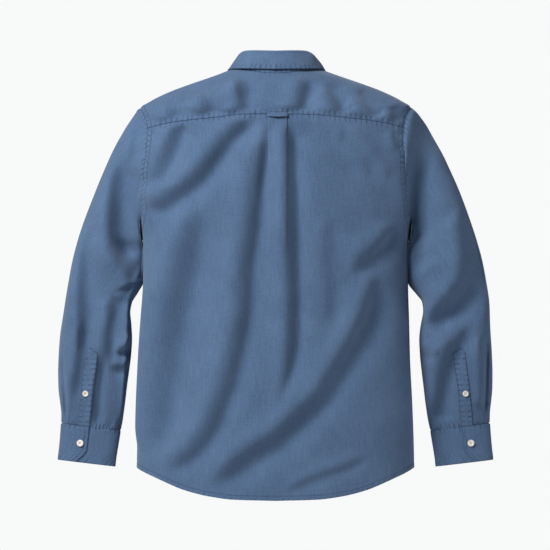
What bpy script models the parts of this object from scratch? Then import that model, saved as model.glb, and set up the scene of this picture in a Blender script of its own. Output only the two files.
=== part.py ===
"""Button-up shirt, filled out and hollow, as a body would fill it, with the back as its best-known side.

Metres, +Z up. The front faces -Y, the wearer's left is +X. The origin is the point between the shoulders
at the base of the neck, where the back of the collar is sewn on. Sizes below are in millimetres.
"""

import math

import bmesh
import bpy
import numpy as np

MM = 0.001
CLOTH = 1.5
BAND = 1.8
GAP = 0.35
SEAM_HALF = 0.25
SIDE_HALF = 0.35
SHOULDER_TIP = -61
ARMPIT = -300
PLEAT_LEFT = 12
PLEAT_RIGHT = -20
PLEAT_HEIGHT = 2.6
PLEAT_LIP = 1.0
PLACKET_HALF = 17
SIDE_X = 251
FRONT_HEM_LEVEL = -740
YOKE_CORNER_Z = -97
STRIP_CLOTH = 1.2
NECK_WIDE = 76
NECK_DEEP = 66
NECK_MIDDLE = -4
NECK_SQUARE = 2.3
STAND_MIDDLE = -3
PLACKET_TOP = 15.6
SHIRT_BUTTON = 11.5
CUFF_BUTTON = 12
SLEEVE_BUTTON = 10.5
BUTTON_THICK = 2.6

BACK_COLUMNS = 17
NECK_COLUMNS = 5
BODY_ROWS = 18
ARM_BACK = 8
ARM_YOKE = 3
ARM_FRONT = 8
YOKE_ROWS = 5

LOOP_LEFT = 15.5
LOOP_RIGHT = -28
LOOP_ARCH = 1.3
CUFF_TILT = math.radians(6.8)
CUFF_TALL = 66
CUFF_HALF = 53.6
CUFF_TAPER = 1.6
CUFF_DEPTH = 21
CUFF_TOP = (334.6, -31, -639)
CUFF_SQUARE = 2.3
CUFF_PROUD = 0.9
CUFF_EDGE_X = 2
CUFF_BUTTON_X = 15
CUFF_BUTTON_DOWN = 31
SLEEVE_BUTTON_Z = -579

# The body's level sections: height, half width, depth behind and in front of the middle, squareness.
TORSO = (
    ("z", "half_width", "behind", "ahead", "square"),
    (-775, 252, 113, 117, 2.35),
    (-662, 249.8, 109, 114, 2.35),
    (-590, 247, 106, 112, 2.35),
    (-518, 243.4, 104, 111, 2.4),
    (-445, 241.6, 103, 111, 2.4),
    (-378, 239.8, 104, 112, 2.4),
    (-300, 240, 107, 113, 2.4),
    (-250, 241, 108, 111, 2.4),
    (-200, 242, 107, 107, 2.4),
    (-150, 243, 103, 98, 2.4),
    (-110, 244, 97, 85, 2.4),
    (-80, 244, 91, 72, 2.4),
    (-61, 243, 86, 65, 2.4),
    (-47, 224, 81, 60, 2.35),
    (-31, 191, 75, 54.5, 2.3),
    (-20, 162, 70.5, 51, 2.25),
    (-9, 130, 66, 48, 2.2),
    (2, 98.6, 61.5, 45, 2.1),
    (8, 82, 59, 42, 2.0),
    (14, 66, 56, 38, 2.0),
)

# The armhole, by the angle round it from the armpit (0) up to the shoulder tip (180).
ARMHOLE = (
    ("turn", "behind", "ahead"),
    (0, 0, 0),
    (20, 9, 12),
    (45, 28, 33),
    (60, 38, 46),
    (73, 45, 56),
    (85, 51, 60),
    (98, 55, 61),
    (115, 52.5, 57),
    (130, 46.5, 50),
    (141, 40, 42),
    (152, 32, 32),
    (165, 19.5, 19),
    (180, 0, 0),
)

YOKE_SEAM = (("x", "z"), (0, -73), (60, -74.5), (100, -77.5), (190, -88), (222, -95.5), (232, -99))
BACK_HEM = (
    ("x", "z"),
    (0, -772),
    (76, -770),
    (118, -765),
    (165, -754),
    (210, -735),
    (240, -716),
    (253, -707),
)
FRONT_HEM = (("x", "z"), (0, -746), (90, -745), (150, -739), (205, -724), (240, -711), (253, -707))

# The sleeve's sections, from the armhole to the cuff: outer edge, inner edge, half depth, middle, squareness.
SLEEVE = (
    ("at", "outer_x", "outer_z", "inner_x", "inner_z", "depth", "middle", "square"),
    (0, 241, -61, 238.5, -300, 58, -3, 2.2),
    (1, 252, -66.5, 241.5, -303, 58.5, -4, 2.2),
    (2, 263, -80, 241.5, -307, 59, -6, 2.2),
    (3, 274.5, -97, 240, -312, 60, -9, 2.2),
    (4, 286, -118, 238, -318, 61, -12, 2.2),
    (5, 298.5, -143, 236, -325, 62, -15, 2.2),
    (6, 312, -173, 235, -333, 62, -18, 2.2),
    (7, 326, -205, 234, -342, 62, -20, 2.2),
    (8, 339.5, -239, 234, -352, 61, -22, 2.2),
    (9, 351.5, -272, 236, -364, 60, -23, 2.2),
    (10, 362, -305, 240, -380, 59, -23, 2.2),
    (11, 371, -340, 251, -397, 57, -22, 2.2),
    (12, 377.5, -375, 262, -414, 54, -20, 2.2),
    (13, 383, -409, 264.5, -431, 52, -18, 2.2),
    (14, 387, -445, 261.5, -454, 51, -18, 2.2),
    (15, 390.5, -478, 259.5, -480, 49, -20, 2.2),
    (16, 392.5, -508, 261, -508, 46, -23, 2.2),
    (17, 393.5, -538, 264.5, -537, 42, -26, 2.2),
    (18, 393, -567, 268.5, -566, 37, -28, 2.2),
    (19, 390.5, -593, 272, -595, 32, -30, 2.2),
    (20, 388, -613, 276, -621, 26, -31, 2.2),
    (21, 387, -632, 280.5, -644.7, 20.5, -31, 2.3),
)

# The neck seam and what stands on it, by the angle from the back (0) to the front (180).
COLLAR = (
    ("turn", "top_z", "stand_x", "stand_y"),
    (0, 37, 62, 57),
    (45, 37.5, 62, 57),
    (75, 38, 62, 57),
    (90, 35, 62, 57),
    (110, 21, 62, 58),
    (135, -8, 62, 59),
    (160, -36, 61, 61),
    (180, -45, 60, 63),
    (196, -46, 60, 63),
)
LEAF_EDGE = (
    ("turn", "x", "y", "z"),
    (0, 0, 79, 4.5),
    (30, 46, 70, 6),
    (60, 77, 38, 8),
    (90, 88, -4, 9.5),
    (110, 89, -36, 1),
    (130, 83, -59, -21),
    (150, 74, -74, -58),
    (173, 57, -86, -99),
)

# The edges of the sleeve's placket: its opening edge and its far edge, down the back of the left sleeve.
SLEEVE_SLIT = (
    ("z", "open_x", "far_x"),
    (-645, 337, 358),
    (-580, 330.5, 352),
    (-496, 320.5, 342),
    (-400, 318, 339),
)
SLEEVE_STRIP = (5, 6)

# Folds by their crest or trough line seen from behind: height out of the cloth and half width.
BACK_FOLDS = (
    ("height", "width", "line"),
    (5.0, 17, ((58, -88), (84, -116), (118, -150), (155, -184), (190, -214), (214, -232))),
    (-3.5, 13, ((40, -90), (70, -122), (104, -158), (136, -192), (168, -216), (205, -244))),
    (3.0, 10, ((189, -104), (198, -146), (209, -188))),
    (
        5.5,
        19,
        (
            (38, -120), (46, -200), (54, -270), (64, -347), (72, -415),
            (80, -480), (94, -556), (116, -606), (152, -652), (206, -688),
        ),
    ),
    (
        -3.0,
        14,
        (
            (14, -140), (24, -220), (34, -300), (42, -400), (56, -480),
            (70, -560), (96, -612), (130, -652), (170, -690),
        ),
    ),
    (
        4.5,
        20,
        (
            (-150, -385), (-140, -435), (-114, -490), (-84, -540),
            (-50, -582), (-8, -624), (40, -662), (100, -702),
        ),
    ),
    (
        -3.0,
        15,
        (
            (-176, -410), (-166, -455), (-138, -505), (-106, -556),
            (-66, -602), (-20, -640), (40, -684), (100, -728),
        ),
    ),
    (-5.0, 20, ((150, -285), (160, -350), (184, -410), (198, -490), (212, -560), (226, -630), (240, -680))),
    (3.5, 15, ((-222, -245), (-182, -298), (-152, -335))),
    (3.0, 14, ((-20, -350), (-14, -430), (-10, -520), (6, -580))),
)
FRONT_FOLDS = (
    ("height", "width", "line"),
    (4.5, 18, ((206, -225), (180, -262), (142, -300), (100, -330))),
    (4.0, 18, ((170, -300), (150, -380), (128, -470), (100, -560), (84, -640))),
    (-3.5, 18, ((205, -360), (196, -450), (180, -540), (160, -640), (150, -700))),
    (3.5, 16, ((80, -190), (86, -270), (74, -360), (66, -440))),
    (-4.0, 18, ((-196, -250), (-160, -305), (-120, -345))),
    (4.5, 18, ((-200, -330), (-180, -420), (-150, -500), (-120, -590), (-112, -690))),
    (4.0, 18, ((-90, -230), (-98, -330), (-80, -430), (-76, -520))),
)
SLEEVE_BACK_FOLDS = (
    ("height", "width", "line"),
    (-5.0, 15, ((258, -84), (260, -130), (262, -180), (276, -240), (284, -300), (268, -360))),
    (4.0, 17, ((306, -200), (308, -250), (306, -300), (296, -350), (278, -384))),
    (-5.0, 15, ((346, -300), (352, -350), (350, -400), (348, -450), (356, -510), (362, -550))),
    (3.5, 13, ((262, -440), (290, -450), (318, -444))),
    (-4.0, 11, ((262, -497), (288, -500), (312, -486))),
    (3.5, 14, ((270, -540), (292, -548), (300, -590))),
)
SLEEVE_FRONT_FOLDS = (
    ("height", "width", "line"),
    (-4.5, 15, ((262, -100), (270, -180), (290, -260), (300, -340))),
    (4.0, 16, ((300, -150), (318, -230), (326, -310), (318, -380))),
    (-4.5, 13, ((252, -408), (284, -424), (318, -420))),
    (4.5, 14, ((258, -446), (300, -462), (344, -452))),
    (-4.0, 12, ((262, -486), (300, -502), (336, -500))),
    (3.5, 14, ((290, -540), (310, -580), (330, -616))),
)

# Buttons down the front: height of each one's middle.
FRONT_BUTTONS = (-128, -221, -314, -407, -500, -593)


def column(table, name):
    place = table[0].index(name)
    return np.array([row[place] for row in table[1:]], float)


def smooth(table, key, name, at):
    """A column of a table at any value of its key, without overshoot and without corners."""
    x = column(table, key)
    y = column(table, name)
    if x[0] > x[-1]:
        x = x[::-1]
        y = y[::-1]
    step = np.diff(x)
    rise = np.diff(y) / step
    slope = np.zeros_like(y)
    slope[0] = rise[0]
    slope[-1] = rise[-1]
    same = rise[:-1] * rise[1:] > 0
    near = np.where(same, rise[:-1], 1.0)
    far = np.where(same, rise[1:], 1.0)
    weight_a = 2 * step[1:] + step[:-1]
    weight_b = step[1:] + 2 * step[:-1]
    slope[1:-1] = np.where(same, (weight_a + weight_b) / (weight_a / near + weight_b / far), 0.0)
    q = np.clip(np.asarray(at, float), x[0], x[-1])
    i = np.clip(np.searchsorted(x, q, side="right") - 1, 0, len(step) - 1)
    t = (q - x[i]) / step[i]
    ends = (2 * t**3 - 3 * t**2 + 1) * y[i] + (3 * t**2 - 2 * t**3) * y[i + 1]
    tangents = (t**3 - 2 * t**2 + t) * slope[i] + (t**3 - t**2) * slope[i + 1]
    return ends + tangents * step[i]


def ease(value, low, high):
    t = np.clip((np.asarray(value, float) - low) / (high - low), 0.0, 1.0)
    return t * t * (3 - 2 * t)


def power(value, exponent):
    return np.sign(value) * np.abs(value) ** exponent


def unit(vectors):
    return vectors / np.maximum(np.linalg.norm(vectors, axis=-1, keepdims=True), 1e-9)


# Distance round a typical body section, so that columns are evenly spaced: 0 behind, QUARTER at the side.
ARC_TURN = np.linspace(0, math.pi / 2, 721)
ARC_X = 240 * np.sin(ARC_TURN) ** (2 / 2.4)
ARC_Y = 107 * np.cos(ARC_TURN) ** (2 / 2.4)
ARC = np.concatenate([[0.0], np.cumsum(np.hypot(np.diff(ARC_X), np.diff(ARC_Y)))])
QUARTER = ARC[-1]


def turn_at(around):
    """The section's own angle for a distance round it, which runs on past the side to the front."""
    s = np.abs(np.asarray(around, float))
    ahead = s > QUARTER
    folded = np.where(ahead, 2 * QUARTER - s, s)
    turn = np.interp(np.abs(folded), ARC, ARC_TURN)
    turn = np.where(folded < 0, -turn, turn)
    return np.where(ahead, math.pi - turn, turn) * np.where(np.asarray(around) < 0, -1, 1)


def around_at(turn):
    turn = np.asarray(turn, float)
    near = np.interp(np.minimum(turn, math.pi - turn), ARC_TURN, ARC)
    return np.where(turn > math.pi / 2, 2 * QUARTER - near, near)


def around_for_x(x, z, front=False):
    """Where a width x lies on the section at height z."""
    share = np.clip(np.abs(x) / smooth(TORSO, "z", "half_width", z), 0.0, 1.0)
    turn = np.arcsin(share ** (smooth(TORSO, "z", "square", z) / 2))
    s = np.interp(turn, ARC_TURN, ARC) * np.where(np.asarray(x) < 0, -1, 1)
    return 2 * QUARTER - s if front else s


def fold_height(folds, x, z):
    """Sum of soft ridges and troughs, each along its line and fading at both ends."""
    total = np.zeros(np.shape(x))
    for height, width, line in folds[1:]:
        points = np.array(line, float)
        spans = np.diff(points, axis=0)
        lengths = np.hypot(spans[:, 0], spans[:, 1])
        starts = np.concatenate([[0.0], np.cumsum(lengths)])
        best = np.full(np.shape(x), 1e9)
        along = np.zeros(np.shape(x))
        for i in range(len(spans)):
            t = ((x - points[i, 0]) * spans[i, 0] + (z - points[i, 1]) * spans[i, 1]) / lengths[i] ** 2
            t = np.clip(t, 0.0, 1.0)
            away = np.hypot(x - points[i, 0] - t * spans[i, 0], z - points[i, 1] - t * spans[i, 1])
            closer = away < best
            best = np.where(closer, away, best)
            along = np.where(closer, starts[i] + t * lengths[i], along)
        fade = ease(along, 0, 0.25 * starts[-1]) * ease(starts[-1] - along, 0, 0.25 * starts[-1])
        total = total + height * np.exp(-((best / width) ** 2)) * (0.15 + 0.85 * fade)
    return total


def pleat_height(x, z):
    """The box pleat stands up from under the yoke and dies out down the back."""
    strip = ease(x, PLEAT_RIGHT - PLEAT_LIP, PLEAT_RIGHT) * ease(-x, -PLEAT_LEFT - PLEAT_LIP, -PLEAT_LEFT)
    return PLEAT_HEIGHT * strip * ease(z, -345, -225) * ease(-z, 72.5, 73.5)


def body_height(x, y, z):
    """How far the cloth stands out of its plain form, fading at the side seams and over the shoulders."""
    behind = ease(y, 8, 40)
    ahead = ease(-y, 8, 40)
    shoulder = ease(-z, 70, 110)
    back = fold_height(BACK_FOLDS, x, z) * shoulder + pleat_height(x, z)
    middle = ease(np.abs(x), 22, 60)
    front = fold_height(FRONT_FOLDS, x, z) * shoulder * middle
    return behind * back + ahead * front


def torso_point(s, z):
    turn = turn_at(s)
    square = 2 / smooth(TORSO, "z", "square", z)
    x = smooth(TORSO, "z", "half_width", z) * power(np.sin(turn), square)
    behind = smooth(TORSO, "z", "behind", z)
    ahead = smooth(TORSO, "z", "ahead", z)
    y = np.where(np.cos(turn) > 0, behind, ahead) * power(np.cos(turn), square)
    return np.stack([x, y, z + 0 * x], axis=-1)


def plain_normal(s, z):
    step = 0.5
    across = torso_point(s + step, z) - torso_point(s - step, z)
    up = torso_point(s, z + step) - torso_point(s, z - step)
    return unit(np.cross(up, across))


def body_point(s, z, lift=0.0):
    s = np.asarray(s, float)
    z = np.asarray(z, float) + 0 * s
    base = torso_point(s, z)
    height = body_height(base[..., 0], base[..., 1], z) + lift
    return base + plain_normal(s, z) * height[..., None]


def armhole(turn, ahead):
    """(distance round, height) of the armhole seam at an angle from the armpit."""
    z = (SHOULDER_TIP + ARMPIT) / 2 - (SHOULDER_TIP - ARMPIT) / 2 * np.cos(np.radians(turn))
    side = "ahead" if ahead else "behind"
    depth = smooth(ARMHOLE, "turn", side, turn)
    share = np.clip(depth / smooth(TORSO, "z", side, z), 0, 1)
    angle = np.arccos(share ** (smooth(TORSO, "z", "square", z) / 2))
    s = np.interp(angle, ARC_TURN, ARC)
    return (2 * QUARTER - s if ahead else s), z


def neck(turn):
    """The neck seam in plan, and its height on the body, by bisection between the sections."""
    angle = np.radians(np.asarray(turn, float))
    x = NECK_WIDE * power(np.sin(angle), 2 / NECK_SQUARE)
    y = NECK_MIDDLE + NECK_DEEP * power(np.cos(angle), 2 / NECK_SQUARE)
    low = np.full(x.shape, -120.0)
    high = np.full(x.shape, 14.0)
    for _ in range(40):
        mid = (low + high) / 2
        depth = np.where(y > 0, smooth(TORSO, "z", "behind", mid), smooth(TORSO, "z", "ahead", mid))
        square = smooth(TORSO, "z", "square", mid)
        share = (np.abs(x) / smooth(TORSO, "z", "half_width", mid)) ** square + (np.abs(y) / depth) ** square
        inside = share < 1
        low = np.where(inside, mid, low)
        high = np.where(inside, high, mid)
    z = (low + high) / 2
    depth = np.where(y > 0, smooth(TORSO, "z", "behind", z), smooth(TORSO, "z", "ahead", z))
    square = smooth(TORSO, "z", "square", z)
    turn_on = np.arctan2(
        (np.abs(x) / smooth(TORSO, "z", "half_width", z)) ** (square / 2),
        (np.abs(y) / depth) ** (square / 2),
    )
    turn_on = np.where(y > 0, turn_on, math.pi - turn_on)
    return around_at(turn_on), z


YOKE_END = 134.0
YOKE_FRONT = 141.0
YOKE_NECK = 118.0
YOKE_BACK_NECK = 74.0


def arm_turns():
    """Angles round the armhole at which its pieces have points: up the back, over the yoke, down the front."""
    back = np.linspace(0, YOKE_END, ARM_BACK + 1)
    yoke_back = np.linspace(YOKE_END, 180, ARM_YOKE + 1)
    yoke_front = np.linspace(180, YOKE_FRONT, ARM_YOKE + 1)
    front = np.linspace(YOKE_FRONT, 0, ARM_FRONT + 1)
    return back, yoke_back, yoke_front, front


def back_grid(side):
    """Rows from hem to yoke seam; columns from the middle of the back to the wearer's left or right."""
    arm_s, arm_z = armhole(arm_turns()[0], False)
    hem_side = smooth(BACK_HEM, "x", "z", SIDE_X)
    side_z = np.concatenate([np.linspace(hem_side, ARMPIT, BODY_ROWS + 1)[:-1], arm_z])
    side_s = np.concatenate([np.full(BODY_ROWS, QUARTER), arm_s])
    side_s = side_s - np.where(side_z < ARMPIT + 1, SIDE_HALF, 0)
    share = (side_z - side_z[0]) / (side_z[-1] - side_z[0])
    rows = []
    for k in range(len(side_z)):
        pleat_edge = PLEAT_LEFT if side > 0 else -PLEAT_RIGHT
        inner = around_for_x(pleat_edge, side_z[k])
        lip = around_for_x(pleat_edge + PLEAT_LIP, side_z[k])
        outer = np.linspace(lip, side_s[k], BACK_COLUMNS + 1)
        s = np.concatenate([[0.0, inner], outer])
        x = np.abs(torso_point(s, np.full(s.shape, side_z[k]))[:, 0])
        low = smooth(BACK_HEM, "x", "z", x)
        high = smooth(YOKE_SEAM, "x", "z", x)
        z = low + (high - low) * share[k]
        z[-1] = side_z[k]
        rows.append(np.stack([s * side, z - SEAM_HALF * (k == len(side_z) - 1)], axis=-1))
    return np.array(rows)


def yoke_neck_turns():
    """Angles round the neck of the yoke's columns, which the collar stand's foot shares."""
    arm_s, _ = armhole(arm_turns()[0], False)
    lip = around_for_x(PLEAT_LEFT + PLEAT_LIP, YOKE_CORNER_Z)
    share = np.concatenate([[0.0, 0.03], np.linspace(lip / arm_s[-1], 1, BACK_COLUMNS + 1)])
    over = np.linspace(YOKE_BACK_NECK, YOKE_NECK, 2 * ARM_YOKE + 1)[1:]
    return np.concatenate([share * YOKE_BACK_NECK, over])


def front_neck_turns():
    """Angles round the neck of the front's columns, up to its placket."""
    last = 180 - math.degrees(math.asin((PLACKET_HALF / NECK_WIDE) ** (NECK_SQUARE / 2)))
    return np.linspace(YOKE_NECK, last, NECK_COLUMNS + 1)


def seam_part(z):
    """Half the shoulder seam's gap as a distance round the body, whose sections narrow toward the neck."""
    return 4.4 * SEAM_HALF * 240 / smooth(TORSO, "z", "half_width", z)


def yoke_grid(side):
    """Rows from the yoke's lower edge to the neck; columns from the middle of the back to the front seam."""
    top_row = back_grid(side)[-1]
    seam_s = np.abs(top_row[:, 0])
    seam_z = top_row[:, 1] + 2 * SEAM_HALF
    _, yoke_back, yoke_front, _ = arm_turns()
    over_s, over_z = armhole(np.concatenate([yoke_back[1:], yoke_front[1:]]), False)
    ahead_s, ahead_z = armhole(yoke_front[1:], True)
    over_s[ARM_YOKE:] = ahead_s
    over_z[ARM_YOKE:] = ahead_z
    low_s = np.concatenate([seam_s, over_s])
    low_z = np.concatenate([seam_z, over_z])
    high_s, high_z = neck(yoke_neck_turns())
    rows = []
    for v in np.linspace(0, 1, YOKE_ROWS + 1):
        rows.append(np.stack([side * (low_s + (high_s - low_s) * v), low_z + (high_z - low_z) * v], axis=-1))
    grid = np.array(rows)
    grid[:, -1, 0] -= side * seam_part(grid[:, -1, 1])
    return grid


def front_grid(side):
    """Rows from hem to the shoulder seam and neck; columns from the side seam to the front edge."""
    arm_s, arm_z = armhole(arm_turns()[3][::-1], True)
    hem_side = smooth(FRONT_HEM, "x", "z", SIDE_X)
    side_z = np.concatenate([np.linspace(hem_side, ARMPIT, BODY_ROWS + 1)[:-1], arm_z])
    side_s = np.concatenate([np.full(BODY_ROWS, QUARTER), arm_s])
    side_s = side_s + np.where(side_z < ARMPIT + 1, SIDE_HALF, 0)
    share = (side_z - side_z[0]) / (side_z[-1] - side_z[0])
    seam = np.linspace(0, 1, YOKE_ROWS + 1)
    neck_s, neck_z = neck(np.array([YOKE_NECK]))
    seam_s = side_s[-1] + (neck_s[0] - side_s[-1]) * seam
    seam_z = side_z[-1] + (neck_z[0] - side_z[-1]) * seam
    ring_s, ring_z = neck(np.concatenate([front_neck_turns()[1:], [180.0]]))
    beyond_s = 4 * QUARTER - ring_s[-2]
    top_s = np.concatenate([seam_s + seam_part(seam_z), ring_s, [beyond_s]])
    top_z = np.concatenate([seam_z, ring_z, [ring_z[-2]]])
    edge = around_for_x(PLACKET_HALF, FRONT_HEM_LEVEL, True)
    low_s = np.concatenate([np.linspace(side_s[0], edge, len(top_s) - 2), [2 * QUARTER, 4 * QUARTER - edge]])
    low_x = np.abs(torso_point(low_s, np.full(low_s.shape, FRONT_HEM_LEVEL))[:, 0])
    low_z = smooth(FRONT_HEM, "x", "z", low_x)
    low_z[0] = side_z[0]
    count = len(top_s)
    t = np.arange(count) / (count - 1)
    rows = []
    for k in range(len(side_z)):
        v = share[k]
        edge_s = low_s[-1] + (top_s[-1] - low_s[-1]) * v
        edge_z = low_z[-1] + (top_z[-1] - low_z[-1]) * v
        s = (1 - v) * low_s + v * top_s
        z = (1 - v) * low_z + v * top_z
        s = s + (1 - t) * (side_s[k] - s[0]) + t * (edge_s - s[-1])
        z = z + (1 - t) * (side_z[k] - z[0]) + t * (edge_z - z[-1])
        rows.append(np.stack([side * s, z], axis=-1))
    return np.array(rows)


def grid_normals(grid, closed):
    """Outward normals of a sheet of points, from the points on either side."""
    if closed:
        across = np.roll(grid, -1, axis=1) - np.roll(grid, 1, axis=1)
    else:
        across = np.gradient(grid, axis=1)
    return unit(np.cross(across, np.gradient(grid, axis=0)))


def body_x(y, z):
    """Half width of the body at a depth and height, for cloth that hangs beside it."""
    depth = np.where(y > 0, smooth(TORSO, "z", "behind", z), smooth(TORSO, "z", "ahead", z))
    square = smooth(TORSO, "z", "square", z)
    share = np.clip(1 - (np.abs(y) / depth) ** square, 0.0, 1.0)
    return smooth(TORSO, "z", "half_width", z) * share ** (1 / square)


def armhole_ring():
    """Points of the left armhole seam, up the back and down the front, and the body's normals."""
    back, yoke_back, yoke_front, front = arm_turns()
    behind_s, behind_z = armhole(np.concatenate([back, yoke_back[1:]]), False)
    ahead_s, ahead_z = armhole(np.concatenate([yoke_front[1:], front[1:-1]]), True)
    s = np.concatenate([behind_s, ahead_s])
    z = np.concatenate([behind_z, ahead_z])
    return body_point(s, z), plain_normal(s, z)


def strip_shift(middle, half, square, clock):
    """How far round two columns move so that they run along the edges of the sleeve's placket."""
    shifts = [0.0]
    for name, index in (("open_x", SLEEVE_STRIP[0]), ("far_x", SLEEVE_STRIP[1])):
        share = np.clip((float(smooth(SLEEVE_SLIT, "z", name, middle[2])) - middle[0]) / half, -0.9, 0.9)
        shifts.append(math.acos(-math.copysign(abs(share) ** (1 / square), share)) - clock[index])
    stops = [0.0, clock[SLEEVE_STRIP[0]], clock[SLEEVE_STRIP[1]], math.pi, 2 * math.pi]
    return np.interp(clock, stops, [*shifts, 0.0, 0.0])


def sleeve_section(at, clock, ring):
    """One ring of the left sleeve. The armhole's own shape gives way to a plain section down the arm."""
    value = {name: float(smooth(SLEEVE, "at", name, at)) for name in SLEEVE[0][1:]}
    outer = np.array([value["outer_x"], 0, value["outer_z"]])
    inner = np.array([value["inner_x"], 0, value["inner_z"]])
    middle = (outer + inner) / 2
    half = np.linalg.norm(outer - inner) / 2
    along = (outer - inner) / (2 * half)
    square = 2 / value["square"]
    if at > 12:
        clock = clock + strip_shift(middle, half, square, clock) * ease(at, 12, 15.6)
    plain = middle + np.outer(-power(np.cos(clock), square) * half, along)
    plain[:, 1] = value["middle"] + power(np.sin(clock), square) * value["depth"]
    top = np.array([241.0, 0, SHOULDER_TIP])
    foot = np.array([239.7, 0, ARMPIT])
    reach = np.linalg.norm(top - foot) / 2
    up = (top - foot) / (2 * reach)
    out = np.array([-up[2], 0, up[0]])
    local = ring - (top + foot) / 2
    level = local @ up
    sunk = local @ out
    turned = np.array([-along[2], 0, along[0]])
    kept = middle + np.outer(level / reach * half, along) + np.outer(sunk, turned)
    kept[:, 1] = ring[:, 1] + value["middle"] + 3
    share = ease(at, 0, 7)
    return kept * (1 - share) + plain * share


def sleeve_rings(steps):
    """All rings of the left sleeve, from the armhole seam to the cuff, with its folds."""
    ring, _ = armhole_ring()
    count = len(ring)
    lengths = np.linalg.norm(np.roll(ring, -1, axis=0) - ring, axis=1)
    walked = np.concatenate([[0.0], np.cumsum(lengths)[:-1]])
    tip = ARM_BACK + ARM_YOKE
    clock = np.where(
        np.arange(count) <= tip,
        math.pi * walked / walked[tip],
        math.pi + math.pi * (walked - walked[tip]) / (lengths.sum() - walked[tip]),
    )
    rings = np.array([sleeve_section(at, clock, ring) for at in steps])
    rings[0] = ring
    clear = 1.2 * ease(np.asarray(steps), 0, 2)[:, None] + 0.6
    held = rings[..., 2] < ARMPIT + 6
    least = body_x(rings[..., 1], rings[..., 2]) + clear
    rings[1:, :, 0] = np.where(held[1:], np.maximum(rings[1:, :, 0], least[1:]), rings[1:, :, 0])
    normals = grid_normals(rings, True)
    behind = ease(normals[..., 1], 0.0, 0.5)
    ahead = ease(-normals[..., 1], 0.0, 0.5)
    height = behind * fold_height(SLEEVE_BACK_FOLDS, rings[..., 0], rings[..., 2])
    height = height + ahead * fold_height(SLEEVE_FRONT_FOLDS, rings[..., 0], rings[..., 2])
    ends = ease(np.asarray(steps), 0.2, 2.0) * ease(-np.asarray(steps), -20.8, -19.0)
    return rings + normals * (height * ends[:, None])[..., None]


def parted(rings):
    """The sleeve's first ring drawn back from the body's edge, more where the two walls lean together."""
    _, body = armhole_ring()
    toward = unit(rings[1] - rings[0])
    lean = np.clip(np.sum((grid_normals(rings, True)[0] - body) * toward, axis=1), 0, 1)
    moved = rings.copy()
    moved[0] = rings[0] + toward * (2 * GAP + CLOTH * lean)[:, None]
    return moved


def mesh_object(name, vertices, faces, colour, roughness=0.85):
    mesh = bpy.data.meshes.new(name)
    mesh.from_pydata([tuple(point) for point in np.asarray(vertices) * MM], [], faces)
    cleaned = bmesh.new()
    cleaned.from_mesh(mesh)
    bmesh.ops.remove_doubles(cleaned, verts=cleaned.verts, dist=1e-7)
    cleaned.to_mesh(mesh)
    cleaned.free()
    mesh.shade_smooth()
    obj = bpy.data.objects.new(name, mesh)
    shirt.objects.link(obj)
    material = bpy.data.materials.new(name)
    material.use_nodes = True
    shader = material.node_tree.nodes["Principled BSDF"]
    shader.inputs["Base Color"].default_value = (*colour, 1.0)
    shader.inputs["Roughness"].default_value = roughness
    shader.inputs["Metallic"].default_value = 0.0
    mesh.materials.append(material)
    return obj


def cloth(name, grid, thickness=CLOTH, closed=False, flip=False, colour=(0.085, 0.14, 0.235)):
    """A sheet of points made a wall: the points are its outer side, and it thickens inwards."""
    rows, count = grid.shape[:2]
    faces = []
    for r in range(rows - 1):
        for c in range(count if closed else count - 1):
            a = r * count + c
            b = r * count + (c + 1) % count
            face = (a, b, b + count, a + count)
            faces.append(face[::-1] if flip else face)
    obj = mesh_object(name, grid.reshape(-1, 3), faces, colour)
    wall = obj.modifiers.new("wall", "SOLIDIFY")
    wall.thickness = thickness * MM
    wall.offset = -1.0
    wall.use_even_offset = False


def whole_back():
    left = back_grid(1)
    right = back_grid(-1)
    grid = np.concatenate([right[:, :0:-1], left], axis=1)
    return grid


def whole_yoke():
    left = yoke_grid(1)
    right = yoke_grid(-1)
    return np.concatenate([right[:, :0:-1], left], axis=1)


def neck_point(turn):
    """A point of the neck seam, at either side."""
    turn = np.asarray(turn, float)
    folded = np.where(np.abs(turn) > 180, 360 - np.abs(turn), np.abs(turn))
    s, z = neck(folded)
    point = torso_point(s, z)
    side = np.where(turn < 0, -1, 1) * np.where(np.abs(turn) > 180, -1, 1)
    point[:, 0] = point[:, 0] * side
    return point


def stand_rows(turn, height, lift):
    """The collar stand's outer side at a share of its height, moved out or in."""
    foot = neck_point(turn)
    angle = np.radians(turn)
    size = np.abs(turn)
    top = np.stack(
        [
            smooth(COLLAR, "turn", "stand_x", size) * np.sin(angle),
            STAND_MIDDLE + smooth(COLLAR, "turn", "stand_y", size) * np.cos(angle),
            smooth(COLLAR, "turn", "top_z", size),
        ],
        axis=-1,
    )
    out = np.stack([np.sin(angle), np.cos(angle), 0 * angle], axis=-1)
    clear = 0.7 + 0.8 * ease(size, 80, 120)
    return foot + unit(top - foot) * clear[:, None] + (top - foot) * height + out * lift[:, None]


def collar_stand():
    half = np.concatenate([yoke_neck_turns(), front_neck_turns()[1:], [180.0, 360 - front_neck_turns()[-1]]])
    turn = np.concatenate([-half[:0:-1], half])
    lift = np.where(turn < -150, -3.0, 0.0) + np.where(turn > 150, 0.4, 0.0)
    grid = np.array([stand_rows(turn, h, lift) for h in (0.0, 0.5, 1.0)])
    cloth("collar_stand", grid, BAND, flip=True)


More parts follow.
